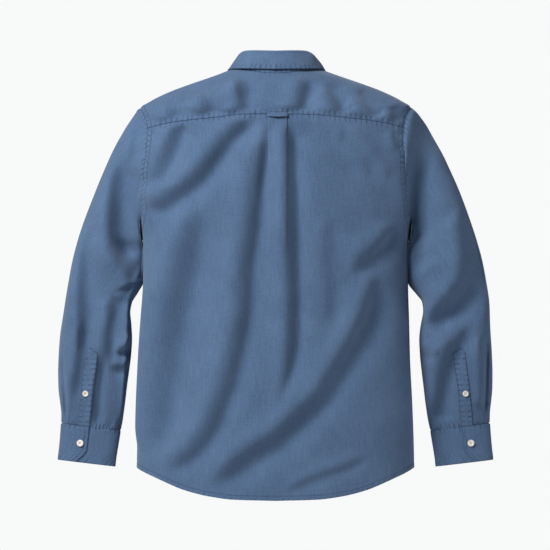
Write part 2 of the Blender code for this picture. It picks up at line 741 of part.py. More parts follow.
def collar_leaf():
    """Folded over the stand: up from its top, over, and down outside to the free edge."""
    half = np.concatenate([yoke_neck_turns(), front_neck_turns()[1:]])
    half = np.concatenate([half[: BACK_COLUMNS + 2 : 2], half[BACK_COLUMNS + 2 : -1], [170.0]])
    turn = np.concatenate([-half[:0:-1], half])
    size = np.abs(turn)
    angle = np.radians(turn)
    out = np.stack([np.sin(angle), np.cos(angle), 0 * angle], axis=-1)
    top = stand_rows(turn, 1.0, np.zeros(turn.shape))
    edge = np.stack(
        [
            smooth(LEAF_EDGE, "turn", "x", size) * np.sign(turn),
            smooth(LEAF_EDGE, "turn", "y", size),
            smooth(LEAF_EDGE, "turn", "z", size),
        ],
        axis=-1,
    )
    run = unit(np.gradient(top, axis=0))
    up = unit(np.array([0.0, 0.0, 1.0]) - run * run[:, 2:])
    top = top + (up * 1.0 + out * 1.2) * (ease(size, 80, 104) * ease(-size, -160, -140))[:, None]
    rows = [top + out * -2.0 + up * 1.3, top + out * -1.6 + up * 3.8, top + out * 0.6 + up * 5.4]
    rows.append(top + out * 3.2 + up * 3.6)
    first = top + out * 4.2 - up * 1.0
    for v in (0.0, 0.3, 0.65, 1.0):
        bow = out * 3.0 * math.sin(math.pi * v)
        rows.append(first + (edge - first) * v + bow)
    cloth("collar_leaf", np.array(rows), BAND)


def sleeve_piece(side, steps):
    rings = parted(sleeve_rings(steps))
    rings = rings * np.array([side, 1, 1])
    name = "sleeve_left" if side > 0 else "sleeve_right"
    cloth(name, rings, CLOTH, closed=True, flip=side < 0)


def sleeve_placket(side, steps):
    """A strip on the sleeve, made from the sleeve's own points moved out."""
    rings = sleeve_rings(steps) * np.array([side, 1, 1])
    normals = grid_normals(rings, True) * side
    rows = [i for i in range(len(steps)) if steps[i] >= PLACKET_TOP]
    columns = list(SLEEVE_STRIP)
    strip = rings[rows][:, columns] + normals[rows][:, columns] * (GAP + STRIP_CLOTH)
    suffix = "left" if side > 0 else "right"
    cloth(f"sleeve_placket_{suffix}", strip, STRIP_CLOTH, flip=side < 0)
    middle = strip.mean(axis=1)
    place = np.array([np.interp(-SLEEVE_BUTTON_Z, -middle[:, 2], middle[:, axis]) for axis in range(3)])
    normal = normals[rows][:, columns].mean(axis=(0, 1))
    button(f"sleeve_button_{suffix}", place + unit(normal) * (GAP + 0.1), normal, SLEEVE_BUTTON)


def cuff_point(angle, down, lift):
    """A point of the left cuff: angle from its outer side over the back, and distance down from its top."""
    axis = np.array([math.sin(CUFF_TILT), 0, -math.cos(CUFF_TILT)])
    across = np.array([math.cos(CUFF_TILT), 0, math.sin(CUFF_TILT)])
    half = CUFF_HALF - CUFF_TAPER * down / CUFF_TALL + lift
    x = half * power(np.cos(angle), 2 / CUFF_SQUARE)
    point = np.array(CUFF_TOP) + np.outer(x, across) + axis * down
    point[:, 1] += (CUFF_DEPTH + lift) * power(np.sin(angle), 2 / CUFF_SQUARE)
    return point


def cuff_turn(x):
    """The angle at which the cuff's back lies a distance x out from its middle."""
    return math.acos((x / (CUFF_HALF - CUFF_TAPER / 2)) ** (CUFF_SQUARE / 2))


def cuff(side):
    """A band wound once round and a little more; its free edge lies on the back, a lower corner cut."""
    mirror = np.array([side, 1, 1])
    rows = []
    for down, shorter in ((0.0, 0), (22.0, 0), (48.0, 0), (57.0, 4), (CUFF_TALL, 16)):
        start = cuff_turn(CUFF_EDGE_X + shorter)
        over = np.linspace(start, -math.pi, 20)
        lapped = np.linspace(-math.pi, -1.5 * math.pi - 0.7, 10)[1:]
        turn = np.concatenate([over, lapped])
        under = ease(-turn, 1.22 * math.pi, 1.42 * math.pi)
        rows.append(cuff_point(turn, down, CUFF_PROUD - (BAND + 2 * GAP) * under) * mirror)
    suffix = "left" if side > 0 else "right"
    cloth(f"cuff_{suffix}", np.array(rows), BAND, flip=side < 0)
    turn = cuff_turn(CUFF_BUTTON_X)
    place = cuff_point(np.array([turn]), CUFF_BUTTON_DOWN, CUFF_PROUD)[0]
    beside = cuff_point(np.array([turn - 0.05, turn + 0.05]), CUFF_BUTTON_DOWN, CUFF_PROUD)
    below = cuff_point(np.array([turn]), CUFF_BUTTON_DOWN + 5, CUFF_PROUD)[0]
    normal = unit(np.cross(beside[0] - beside[1], below - place))
    button(f"cuff_button_{suffix}", (place + normal * GAP) * mirror, normal * mirror, CUFF_BUTTON)


def button(name, centre, normal, size):
    """A turned four-hole button's blank: a rim round a shallow dish."""
    half = size / 2
    profile = (
        (0, 0),
        (half - 0.6, 0),
        (half, 0.8),
        (half - 0.1, 2.2),
        (half - 1.1, BUTTON_THICK),
        (half - 2.4, 2.0),
        (0, 1.8),
    )
    around = 12
    faces = []
    normal = unit(np.asarray(normal, float))
    side = unit(np.cross(normal, [0.0, 0.0, 1.0]))
    other = np.cross(normal, side)
    vertices = [centre]
    for radius, rise in profile[1:-1]:
        for i in range(around):
            angle = 2 * math.pi * i / around
            arm = side * math.cos(angle) + other * math.sin(angle)
            vertices.append(centre + arm * radius + normal * rise)
    vertices.append(centre + normal * profile[-1][1])
    last = len(vertices) - 1
    for ring in range(len(profile) - 3):
        for i in range(around):
            a = 1 + ring * around + i
            b = 1 + ring * around + (i + 1) % around
            faces.append((a, b, b + around, a + around))
    for i in range(around):
        faces.append((0, 1 + (i + 1) % around, 1 + i))
        faces.append((last, last - around + i, last - around + (i + 1) % around))
    obj = mesh_object(name, np.array(vertices), faces, (0.75, 0.71, 0.66), 0.3)
    bm = bmesh.new()
    bm.from_mesh(obj.data)
    bmesh.ops.recalc_face_normals(bm, faces=bm.faces)
    bm.to_mesh(obj.data)
    bm.free()
    return obj


for old in list(bpy.data.objects):
    bpy.data.objects.remove(old, do_unlink=True)
shirt = bpy.data.collections.new("button_up_shirt")
bpy.context.scene.collection.children.link(shirt)

back = whole_back()
cloth("back", body_point(back[..., 0], back[..., 1]), flip=True)
yoke = whole_yoke()
cloth("yoke", body_point(yoke[..., 0], yoke[..., 1]), flip=True)

left = front_grid(1)
cloth("front_left", body_point(left[..., 0], left[..., 1]), flip=True)
right = front_grid(-1)
under = np.zeros(right.shape[:2])
under[:, -3:] = -(CLOTH + GAP + 0.45)
cloth("front_right", body_point(right[..., 0], right[..., 1], under), flip=False)
strip = left[:, -3:]
cloth("front_placket", body_point(strip[..., 0], strip[..., 1], GAP + STRIP_CLOTH), STRIP_CLOTH, flip=True)

collar_stand()
collar_leaf()

def seated_button(name, x, z, lift, size):
    """A button on the front, standing off the cloth under it by a hair."""
    s = float(around_for_x(x, z, True))
    at = body_point(np.array([s]), np.array([z]))[0]
    normal = plain_normal(np.array([s]), np.array([z]))[0]
    button(name, at + normal * lift, normal, size)


def locker_loop():
    """A short strap across the yoke seam, held at both ends and free between them, over the pleat."""
    x = np.array([LOOP_RIGHT, -24.5, -21.2, -17, -10, -3, 4, 9, 12.7, LOOP_LEFT])
    over = PLEAT_HEIGHT * ease(x, LOOP_RIGHT, -21.5) * ease(-x, -LOOP_LEFT, -12.7)
    arch = LOOP_ARCH * np.sin(math.pi * (x - LOOP_RIGHT) / (LOOP_LEFT - LOOP_RIGHT))
    rows = []
    for drop in (-82.0, -78.0, -74.0):
        z = np.full(x.shape, drop)
        lift = GAP + STRIP_CLOTH + over + arch - pleat_height(x, z)
        rows.append(body_point(around_for_x(x, z), z, lift))
    cloth("locker_loop", np.array(rows), STRIP_CLOTH, flip=True)


locker_loop()
for number, height in enumerate(FRONT_BUTTONS, 1):
    seated_button(f"front_button_{number}", 0.0, height, GAP * 2 + STRIP_CLOTH, SHIRT_BUTTON)

stand_place = stand_rows(np.array([180.0]), 0.5, np.array([0.4]))[0]
button("collar_button", stand_place + np.array([0, -GAP, 0]), (0.0, -1.0, 0.12), SHIRT_BUTTON)

SLEEVE_STEPS = [*range(14), 14.3, 15.6, 16.4, 17.2, 18.1, 19, 20, 21]
for side in (1, -1):
    sleeve_piece(side, SLEEVE_STEPS)
    sleeve_placket(side, SLEEVE_STEPS)
    cuff(side)
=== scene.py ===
"""Button-up shirt with long sleeves, filled out and hollow, seen from behind.

The wearer's left is +X and the back faces +Y. Sizes in the tables and in the functions on form are in
millimetres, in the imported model's own frame. Settings and finished meshes are in metres.
"""

import math

import bpy
import numpy as np
from bpy.props import FloatProperty, FloatVectorProperty, PointerProperty
from mathutils import Matrix, Vector


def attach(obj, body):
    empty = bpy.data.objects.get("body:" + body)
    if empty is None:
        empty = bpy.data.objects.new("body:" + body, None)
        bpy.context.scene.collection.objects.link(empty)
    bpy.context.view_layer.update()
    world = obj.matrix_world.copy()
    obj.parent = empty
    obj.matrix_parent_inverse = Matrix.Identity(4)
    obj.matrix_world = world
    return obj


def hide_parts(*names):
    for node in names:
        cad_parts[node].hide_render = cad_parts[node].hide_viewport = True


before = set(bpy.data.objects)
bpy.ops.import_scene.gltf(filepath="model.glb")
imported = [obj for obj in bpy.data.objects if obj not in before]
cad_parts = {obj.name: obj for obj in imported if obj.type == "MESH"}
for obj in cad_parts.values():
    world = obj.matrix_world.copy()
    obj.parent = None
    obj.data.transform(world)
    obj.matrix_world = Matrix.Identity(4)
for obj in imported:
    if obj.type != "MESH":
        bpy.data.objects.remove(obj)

bl_info = {
    "name": "Button-Up Shirt",
    "version": (1, 0, 0),
    "blender": (4, 5, 0),
    "location": "3D View > Sidebar > Shirt",
    "description": "Dresses the packed shirt in chambray panels, stitching and buttons",
    "category": "Object",
}

MM = 0.001
SIDES = ((1, "left"), (-1, "right"))
# This distance stands for no seam nearby.
FAR = 99.0
SHOULDER_TIP = -61
ARMPIT = -300
SIDE_X = 251
PLACKET_HALF = 17
PLEAT_LEFT = 12
PLEAT_RIGHT = -20
PLEAT_HEIGHT = 2.8
PLEAT_LIP = 1.0
PLEAT_FULL = -236
PLEAT_GONE = -348
FRONT_HEM_LEVEL = -740
NECK_WIDE = 76
NECK_DEEP = 66
NECK_MIDDLE = -4
NECK_SQUARE = 2.3
# The neck seam's height is looked for between these two.
NECK_LOWEST = -120.0
NECK_HIGHEST = 14.0
HALVINGS = 40
BODY_MIDDLE = (0.0, 0.0, -180.0)
# Where pieces meet, as angles round the armhole from the armpit, and round the neck from the back.
YOKE_END = 134.0
YOKE_FRONT = 141.0
YOKE_NECK = 118.0
YOKE_BACK_NECK = 74.0
# Where the middle of the collar stand's top lies on Y, and how far the leaf leans out on the wearer's right.
STAND_MIDDLE = -3
LEAF_LEAN = 3.5
# The wearer's left shoulder hangs a little lower; the cloth stands fuller along the armhole behind.
SHOULDER_DROP = 1.6
ARM_RIDGE = 9.0
ARM_RIDGE_REACH = 30.0
# The back's and the fronts' folds fade between these depths, towards the sides.
SIDE_TURN = (8, 40)
# Puckers beside seams: how far apart they lie along the seam, and how far they reach from it.
YOKE_PUCKERS = (21, 13)
HEM_PUCKERS = (24, 12)
HEAD_PUCKERS = (19, 12)
CUFF_BROAD = (52, 26)
CUFF_NARROW = (24, 14)
# How far the right front lies in under the left one's strip.
UNDER_STRIP = 2.0

# How far a piece runs on under its neighbour, and how deep it lies there.
TUCK_RUN = 3.5
TUCK_DEPTH = 1.0
EDGE_DIP = 0.45
# The yoke lies over the back's edge, and bands are turned in along the hem and the armhole.
HEM_WIDE = 8
HEM_CALM = 5
YOKE_LIFT = 0.15
ARM_BAND = 9
BAND_RISE = 0.35

# The sleeve's steps down the arm: its last one, where its section is plain, and where the slit bends it.
SLEEVE_STEPS = 21
SECTION_PLAIN = 5
SLIT_FROM = 12
SLIT_FULL = 15.6
ARM_TOP_X = 241.0
ARM_FOOT_X = 239.7
# How far the left sleeve's outer edge lies in, all along and more beside its head, and the right one's out.
SWING_IN = 2.4
SWING_IN_HEAD = 1.8
SWING_OUT = 3.7
# How hard the sleeve presses into the body at the armpit, and over what height.
ARMPIT_PRESS = 2.4
ARMPIT_REACH = 18

# The placket strip lies between these angles round the sleeve, and starts this far down it. Its top runs to a
# point, and a row of stitches boxes it in below.
STRIP_OPEN = math.radians(77.07)
STRIP_FAR = math.radians(99.55)
STRIP_TOP = 15.56
STRIP_WIDE = 21.5
STRIP_TOPS = (-506, -495.5, -502.5)
STRIP_BOX = -523.5
STRIP_ROWS = 56
STRIP_POINTS = 15
STRIP_LIFT = 1.5

# How deep the sleeves' heads hollow beside the armhole, right and left, and over how many steps down the arm.
HEAD_FALL = (3.0, 1.0)
HEAD_REACH = 2.6

CUFF_TILT = math.radians(6.8)
CUFF_TALL = 66
CUFF_HALF = 53.6
CUFF_TAPER = 1.6
CUFF_DEPTH = 21
CUFF_TOP = (334.6, -31, -639)
CUFF_SQUARE = 2.3
CUFF_PROUD = 0.9
CUFF_EDGE_X = 2
CUFF_BUTTON_X = 15
CUFF_BUTTON_DOWN = 31
SLEEVE_BUTTON_Z = -579
SHIRT_BUTTON = 11.5
CUFF_BUTTON = 12.0
SLEEVE_BUTTON = 10.5
BUTTON_THICK = 2.6
PLACKET_LIFT = 1.15
BUTTON_DISH = 0.7
BUTTON_HOLE = 0.78
BUTTON_HOLES_APART = 0.13

# Rows of stitches: their distances in from the edges of cuffs and collar and from the armhole seam.
CUFF_STITCHES = (1.6, 5.4)
LEAF_STITCHES = (1.6, 6.2)
ARMHOLE_STITCHES = (1.5, 8.5)

# The cloth's pattern, in millimetres. A wave texture's bands lie this many apart for each unit of scale.
WAVE_PER_MM = 0.314
YARN_APART = 1.3
PUCKER_APART = 9.5
PUCKER_REACH = 11.0

# The studio: one picture a metre wide, taken from far behind the shirt.
SENSOR = 36.0
CAMERA_AWAY = 18.0
VIEW_WIDE = 0.9949
VIEW_X = 0.0009
VIEW_Z = -0.3638
LIGHTS_AIM = (0, 0, -0.4)
STUDIO_LIGHTS = (
    ("key_light", (1.75, 2.15, 1.65), (1.3, 1.3), 166.0),
    ("side_light", (-2.9, 0.3, -0.2), (1.5, 1.8), 23.0),
)
FLOOR_RADIUS = 2.5
FLOOR_Z = -1.45
BACKDROP = "#F8F9F9"
ROOM_LIGHT = 0.16

# Mesh fineness: about 3 mm between points on the back and sleeves, a little more on the hidden fronts.
BODY_ROWS = 128
ARM_ROWS = 68
BACK_COLUMNS = 84
YOKE_ROWS = 44
TIP_COLUMNS = 16
SEAM_COLUMNS = 28
NECK_COLUMNS = 26
FRONT_BODY_ROWS = 104
STRIP_COLUMNS = 12
FRONT_ARM_ROWS = 60
RING_ARM = 66
RING_TIP = 12
RINGS_PER_STEP = 8

# The body's level sections: height, half width, depth behind and in front of the middle, squareness.
TORSO = (
    ("z", "half_width", "behind", "ahead", "square"),
    (-775, 252, 113, 117, 2.35),
    (-662, 249.8, 109, 114, 2.35),
    (-590, 247, 106, 112, 2.35),
    (-518, 243.4, 104, 111, 2.4),
    (-445, 241.6, 103, 111, 2.4),
    (-378, 239.8, 104, 112, 2.4),
    (-300, 240, 107, 113, 2.4),
    (-250, 241, 108, 111, 2.4),
    (-200, 242, 107, 107, 2.4),
    (-150, 243, 103, 98, 2.4),
    (-110, 244, 97, 85, 2.4),
    (-80, 245, 91, 72, 2.4),
    (-61, 243.6, 86, 65, 2.4),
    (-47, 224, 81, 60, 2.35),
    (-31, 191, 75, 54.5, 2.3),
    (-20, 162, 70.5, 51, 2.25),
    (-9, 130, 66, 48, 2.2),
    (2, 98.6, 61.5, 45, 2.1),
    (8, 82, 59, 42, 2.0),
    (14, 66, 56, 38, 2.0),
)

# The armhole, by the angle round it from the armpit (0) up to the shoulder tip (180).
ARMHOLE = (
    ("turn", "behind", "ahead"),
    (0, 0, 0),
    (20, 12, 12),
    (45, 33, 33),
    (60, 42, 46),
    (73, 45.5, 56),
    (85, 47.5, 60),
    (98, 48.5, 61),
    (115, 48, 57),
    (130, 44.5, 50),
    (141, 39, 42),
    (152, 31.5, 32),
    (165, 19.5, 19),
    (180, 0, 0),
)

YOKE_SEAM = (("x", "z"), (0, -73), (60, -74.5), (100, -77.5), (190, -88), (222, -95.5), (232, -99))
BACK_HEM = (
    ("x", "z"),
    (0, -770),
    (76, -767.8),
    (118, -762.4),
    (165, -750.6),
    (190, -740.6),
    (210, -731.8),
    (240, -718),
    (253, -710),
)
FRONT_HEM = (("x", "z"), (0, -746), (90, -745), (150, -739), (205, -724), (240, -711), (253, -707))

# The sleeve's sections, from the armhole to the cuff: outer edge, inner edge, half depth, middle, squareness.
SLEEVE = (
    ("at", "outer_x", "outer_z", "inner_x", "inner_z", "depth", "middle", "square"),
    (0, 241, -61, 238.5, -300, 58, -3, 2.2),
    (1, 252, -68.2, 241.5, -303, 58.5, -4, 2.2),
    (2, 263, -81, 241.5, -307, 59, -6, 2.25),
    (3, 274.5, -97, 240, -312, 60, -9, 2.3),
    (4, 286, -118, 238, -318, 61, -12, 2.4),
    (5, 298.5, -143, 236, -325, 62, -15, 2.5),
    (6, 312, -173, 235, -333, 62, -18, 2.6),
    (7, 326, -205, 234, -342, 62, -20, 2.7),
    (8, 339.5, -239, 234, -352, 61, -22, 2.8),
    (9, 351.5, -272, 236, -364, 60, -23, 2.85),
    (10, 362, -305, 240, -380, 59, -23, 2.9),
    (11, 371, -340, 251, -397, 57, -22, 2.9),
    (12, 377.5, -375, 262, -414, 54, -20, 2.9),
    (13, 383, -409, 264.5, -431, 52, -18, 2.9),
    (14, 387, -445, 261.5, -454, 51, -18, 2.9),
    (15, 390.5, -478, 259.5, -480, 49, -20, 2.9),
    (16, 392.5, -508, 261, -508, 46, -23, 2.9),
    (17, 393.5, -538, 264.5, -537, 42, -26, 2.9),
    (18, 393, -567, 268.5, -566, 37, -28, 2.85),
    (19, 390.5, -593, 272, -595, 32, -30, 2.75),
    (20, 388, -613, 276, -621, 26, -31, 2.6),
    (21, 387, -632, 280.5, -644.7, 20.5, -31, 2.3),
)

# The neck seam and what stands on it, by the angle from the back (0) to the front (180).
COLLAR = (
    ("turn", "top_z", "stand_x", "stand_y"),
    (0, 36.2, 62, 57),
    (25, 36.8, 62, 57),
    (45, 37, 62, 57),
    (60, 36.6, 61.5, 57),
    (75, 33.6, 61, 57),
    (90, 27.0, 61, 57),
    (110, 13.5, 61, 58),
    (135, -11, 61.5, 59),
    (160, -36, 61, 61),
    (180, -45, 60, 63),
    (196, -46, 60, 63),
)
LEAF_EDGE = (
    ("turn", "x", "y", "z"),
    (0, 0, 67.5, 7.5),
    (30, 43, 60.5, 8.5),
    (60, 73, 36, 9.0),
    (90, 87, -4, 6.5),
    (110, 88, -36, -2),
    (130, 83, -59, -21),
    (150, 74, -74, -58),
    (173, 57, -86, -99),
)

# The edges of the sleeve's placket: its opening edge and its far edge, down the back of the left sleeve.
SLEEVE_SLIT = (
    ("z", "open_x", "far_x"),
    (-645, 337, 358),
    (-580, 330.5, 352),
    (-496, 320.5, 342),
    (-400, 318, 339),
)
# The cuff's lower corner is cut off: how far its edge draws back, by the distance down from its top.
CUFF_CORNER = (("down", "back"), (0, 0), (42, 0), (47, 1.5), (52, 5), (58, 10.5), (66, 18))

# Folds, each by a line between its crest and its hollow. Where the line runs down, the crest lies on the
# wearer's left of it and the hollow on the right. Rise is the crest's height. Lit and shade are the distances
# from the line to crest and hollow. Start and end are how far the fold takes to grow and to die.
BACK_FOLDS = (
    ("rise", "lit", "shade", "start", "end", "line"),
    (5.6, 20, 17, 46, 30, (
        (36, -68), (52, -87), (80, -114), (111, -152), (139, -187), (166, -208), (198, -232),
        (226, -252),
    )),
    (3.6, 12, 15, 26, 24, ((166, -78), (178, -98), (189, -127), (198, -152), (206, -174), (216, -204))),
    (5.8, 26, 16, 50, 60, (
        (14, -96), (21, -132), (30, -194), (35, -243), (42, -295), (50, -347), (53, -415), (61, -467),
        (73, -519), (83, -560), (97, -595), (111, -630), (132, -664), (166, -695), (204, -720),
    )),
    (5.4, 18, 14, 36, 150, (
        (-22.5, -84), (-24, -130), (-26, -200), (-27, -260), (-29, -320), (-31, -380), (-31, -430),
        (-30, -480), (-24, -530), (-10, -575), (8, -610),
    )),
    (1.0, 10, 10, 24, 100, ((12, -84), (20, -130), (28, -200), (34, -250))),
    (4.8, 20, 23, 70, 70, (
        (-180, -350), (-171, -397), (-159, -442), (-132, -494), (-100, -546), (-73, -588), (-31, -626),
        (3, -657), (38, -678), (87, -716), (126, -748),
    )),
    (3.2, 18, 17, 40, 40, ((-222, -268), (-191, -308), (-159, -336), (-136, -368))),
    (7.0, 28, 30, 110, 60, (
        (144, -215), (155, -280), (165, -330), (176, -380), (188, -430), (199, -485), (209, -540),
        (219, -605), (230, -660), (240, -700),
    )),
    (1.6, 13, 14, 40, 30, ((-168, -186), (-104, -114), (-44, -78))),
    (1.4, 10, 12, 30, 20, ((-200, -200), (-166, -146), (-122, -98))),
    (1.3, 8, 9, 14, 14, ((-207, -100), (-211, -120), (-215, -146))),
    (1.5, 11, 10, 40, 40, ((-170, -690), (-114, -713), (-66, -730), (-10, -757))),
    (1.3, 14, 16, 40, 50, ((-96, -250), (-92, -330), (-98, -400), (-94, -470))),
)
YOKE_FOLDS = (
    ("rise", "lit", "shade", "start", "end", "line"),
    (-3.6, 15, 17, 24, 40, ((62, -2), (86, -12), (115, -28), (150, -43), (176, -57))),
    (3.4, 15, 13, 26, 12, ((50, -8), (56, -24), (60, -42), (62, -62), (68, -84))),
    (4.2, 18, 14, 22, 12, ((-62, -6), (-56, -20), (-49, -36), (-45, -54), (-38, -68), (-28, -84))),
    (3.4, 16, 15, 20, 14, ((-86, -18), (-97, -36), (-108, -58), (-116, -82))),
    (2.8, 16, 16, 16, 14, ((-140, -32), (-155, -50), (-166, -68), (-175, -90))),
    (2.0, 12, 12, 14, 12, ((-200, -60), (-210, -78), (-214, -94))),
    (2.6, 16, 16, 18, 14, ((114, -42), (125, -60), (134, -82))),
    (2.4, 14, 14, 18, 14, ((180, -56), (190, -76), (193, -92))),
)
SLEEVE_LEFT_FOLDS = (
    ("rise", "lit", "shade", "start", "end", "line"),
    (1.5, 9, 16, 20, 40, ((250, -62), (254, -84), (256, -108), (261, -138), (267, -172))),
    (4.0, 16, 22, 50, 60, (
        (282, -140), (289, -180), (293, -230), (294, -285), (291, -330), (284, -366),
    )),
    (4.2, 14, 18, 46, 10, ((296, -296), (284, -318), (272, -340), (260, -362), (250, -381))),
    (3.5, 16, 16, 44, 80, (
        (330, -250), (343, -297), (350, -334), (352, -394), (350, -440), (350, -480), (354, -520),
    )),
    (1.6, 10, 12, 40, 40, ((352, -440), (356, -511), (360, -542), (366, -596))),
    (3.4, 9, 10, 12, 16, ((248, -478), (262, -490), (276, -499), (292, -506))),
    (1.9, 9, 9, 12, 20, ((258, -526), (276, -530), (292, -530), (305, -526))),
    (2.0, 12, 12, 20, 30, ((300, -400), (296, -430), (304, -470), (300, -520))),
    (1.2, 5, 9, 30, 12, ((319, -500), (321, -534), (326, -568), (330, -615), (333, -648))),
)
SLEEVE_RIGHT_FOLDS = (
    ("rise", "lit", "shade", "start", "end", "line"),
    (2.1, 12, 26, 6, 60, (
        (-262, -56), (-253, -98), (-246, -143), (-240, -183), (-236, -225), (-235, -280), (-236, -340),
    )),
    (2.2, 12, 28, 70, 40, (
        (-238, -110), (-233, -160), (-229, -210), (-228, -260), (-230, -310), (-235, -370),
    )),
    (5.0, 20, 26, 40, 30, (
        (-334, -236), (-343, -281), (-347, -317), (-346, -350), (-338, -380), (-320, -404), (-296, -426),
        (-264, -458),
    )),
    (3.0, 15, 17, 34, 30, (
        (-356, -450), (-338, -466), (-322, -487), (-309, -511), (-301, -537), (-296, -563), (-292, -589),
        (-284, -615), (-280, -640),
    )),
    (1.9, 8, 8, 9, 9, ((-290, -514), (-275, -501), (-260, -490))),
    (2.0, 9, 8, 20, 20, ((-372, -470), (-375, -520), (-376, -570), (-376, -610))),
)
# Ridges along lines, and creases where the height is below zero: height, half width, line.
BACK_CREASES = (
    ("height", "width", "line"),
    (-0.9, 2.6, ((2.5, -84), (2, -160), (1, -240), (3, -330))),
    (-0.5, 2.2, ((-4, -100), (-5, -180), (-4, -260))),
)
LEFT_CREASES = (
    ("height", "width", "line"),
    (-5.5, 3.2, ((385, -500), (384, -540), (381, -590), (379, -640))),
    (1.8, 5.0, ((375, -520), (374, -560), (373, -620))),
    (6.0, 18.0, ((318, -180), (323, -230), (325, -280), (322, -330), (306, -380))),
    (7.0, 14.0, ((258, -394), (266, -440), (270, -500), (275, -570), (282, -640))),
    (6.0, 6.0, ((256, -395), (265, -433), (270, -500), (274, -577), (281, -660))),
    (5.0, 15.0, ((334, -290), (318, -318), (294, -361), (276, -391), (262, -426))),
    (9.0, 8.0, ((238, -345), (247, -366), (256, -392), (264, -416), (268, -450))),
)
RIGHT_CREASES = (
    ("height", "width", "line"),
    (-6.0, 3.6, ((-383, -470), (-383, -520), (-381, -570), (-379, -630))),
    (1.4, 6.0, ((-284, -476), (-309, -466), (-334, -444))),
)
FRONT_RIDGES = (
    ("height", "width", "line"),
    (4.5, 18, ((206, -225), (180, -262), (142, -300), (100, -330))),
    (4.0, 18, ((170, -300), (150, -380), (128, -470), (100, -560), (84, -640))),
    (-3.5, 18, ((205, -360), (196, -450), (180, -540), (160, -640), (150, -700))),
    (3.5, 16, ((80, -190), (86, -270), (74, -360), (66, -440))),
    (-4.0, 18, ((-196, -250), (-160, -305), (-120, -345))),
    (4.5, 18, ((-200, -330), (-180, -420), (-150, -500), (-120, -590), (-112, -690))),
    (4.0, 18, ((-90, -230), (-98, -330), (-80, -430), (-76, -520))),
)
SLEEVE_FRONT_RIDGES = (
    ("height", "width", "line"),
    (-4.5, 15, ((262, -100), (270, -180), (290, -260), (300, -340))),
    (4.0, 16, ((300, -150), (318, -230), (326, -310), (318, -380))),
    (-4.5, 13, ((252, -408), (284, -424), (318, -420))),
    (4.5, 14, ((258, -446), (300, -462), (344, -452))),
    (-4.0, 12, ((262, -486), (300, -502), (336, -500))),
    (3.5, 14, ((290, -540), (310, -580), (330, -616))),
)

# Buttons down the front: height of each one's middle.
FRONT_BUTTONS = (-128, -221, -314, -407, -500, -593)


def column(table, name):
    """The numbers under one heading of a table."""
    place = table[0].index(name)
    return np.array([row[place] for row in table[1:]], float)


def smooth(table, key, name, at):
    """A column of a table at any value of its key, without overshoot and without corners."""
    x = column(table, key)
    y = column(table, name)
    if x[0] > x[-1]:
        x = x[::-1]
        y = y[::-1]
    step = np.diff(x)
    rise = np.diff(y) / step
    slope = np.zeros_like(y)
    slope[0] = rise[0]
    slope[-1] = rise[-1]
    same = rise[:-1] * rise[1:] > 0
    near = np.where(same, rise[:-1], 1.0)
    far = np.where(same, rise[1:], 1.0)
    weight_a = 2 * step[1:] + step[:-1]
    weight_b = step[1:] + 2 * step[:-1]
    slope[1:-1] = np.where(same, (weight_a + weight_b) / (weight_a / near + weight_b / far), 0.0)
    q = np.clip(np.asarray(at, float), x[0], x[-1])
    i = np.clip(np.searchsorted(x, q, side="right") - 1, 0, len(step) - 1)
    t = (q - x[i]) / step[i]
    ends = (2 * t**3 - 3 * t**2 + 1) * y[i] + (3 * t**2 - 2 * t**3) * y[i + 1]
    tangents = (t**3 - 2 * t**2 + t) * slope[i] + (t**3 - t**2) * slope[i + 1]
    return ends + tangents * step[i]


def ease(value, low, high):
    """0 at low and 1 at high, with a smooth start and a smooth end."""
    t = np.clip((np.asarray(value, float) - low) / (high - low), 0.0, 1.0)
    return t * t * (3 - 2 * t)


def power(value, exponent):
    """A power that keeps the sign."""
    return np.sign(value) * np.abs(value) ** exponent


def unit(vectors):
    """Vectors of length one."""
    return vectors / np.maximum(np.linalg.norm(vectors, axis=-1, keepdims=True), 1e-9)


# Distance round a typical body section, so that columns are evenly spaced: 0 behind, QUARTER at the side.
ARC_WIDE = 240
ARC_DEEP = 107
ARC_SQUARE = 2.4
ARC_TURN = np.linspace(0, math.pi / 2, 721)
ARC_X = ARC_WIDE * np.sin(ARC_TURN) ** (2 / ARC_SQUARE)
ARC_Y = ARC_DEEP * np.cos(ARC_TURN) ** (2 / ARC_SQUARE)
ARC = np.concatenate([[0.0], np.cumsum(np.hypot(np.diff(ARC_X), np.diff(ARC_Y)))])
QUARTER = ARC[-1]


def turn_at(around):
    """The section's own angle for a distance round it, which runs on past the side to the front."""
    s = np.abs(np.asarray(around, float))
    ahead = s > QUARTER
    folded = np.where(ahead, 2 * QUARTER - s, s)
    turn = np.interp(np.abs(folded), ARC, ARC_TURN)
    turn = np.where(folded < 0, -turn, turn)
    return np.where(ahead, math.pi - turn, turn) * np.where(np.asarray(around) < 0, -1, 1)


def around_at(turn):
    """The distance round a section for its own angle."""
    turn = np.asarray(turn, float)
    near = np.interp(np.minimum(turn, math.pi - turn), ARC_TURN, ARC)
    return np.where(turn > math.pi / 2, 2 * QUARTER - near, near)


def torso(name, z):
    """One measure of the body's section at height z."""
    return smooth(TORSO, "z", name, z)


def torso_depth(y, z):
    """The section's depth at height z, on the side of the middle where y lies."""
    return np.where(y > 0, torso("behind", z), torso("ahead", z))


def around_for_x(x, z, front=False):
    """Where a width x lies on the section at height z."""
    share = np.clip(np.abs(x) / torso("half_width", z), 0.0, 1.0)
    turn = np.arcsin(share ** (torso("square", z) / 2))
    s = np.interp(turn, ARC_TURN, ARC) * np.where(np.asarray(x) < 0, -1, 1)
    return 2 * QUARTER - s if front else s


def torso_point(s, z):
    """A point of the body's plain form."""
    turn = turn_at(s)
    square = 2 / torso("square", z)
    x = torso("half_width", z) * power(np.sin(turn), square)
    y = torso_depth(np.cos(turn), z) * power(np.cos(turn), square)
    return np.stack([x, y, z + 0 * x], axis=-1)


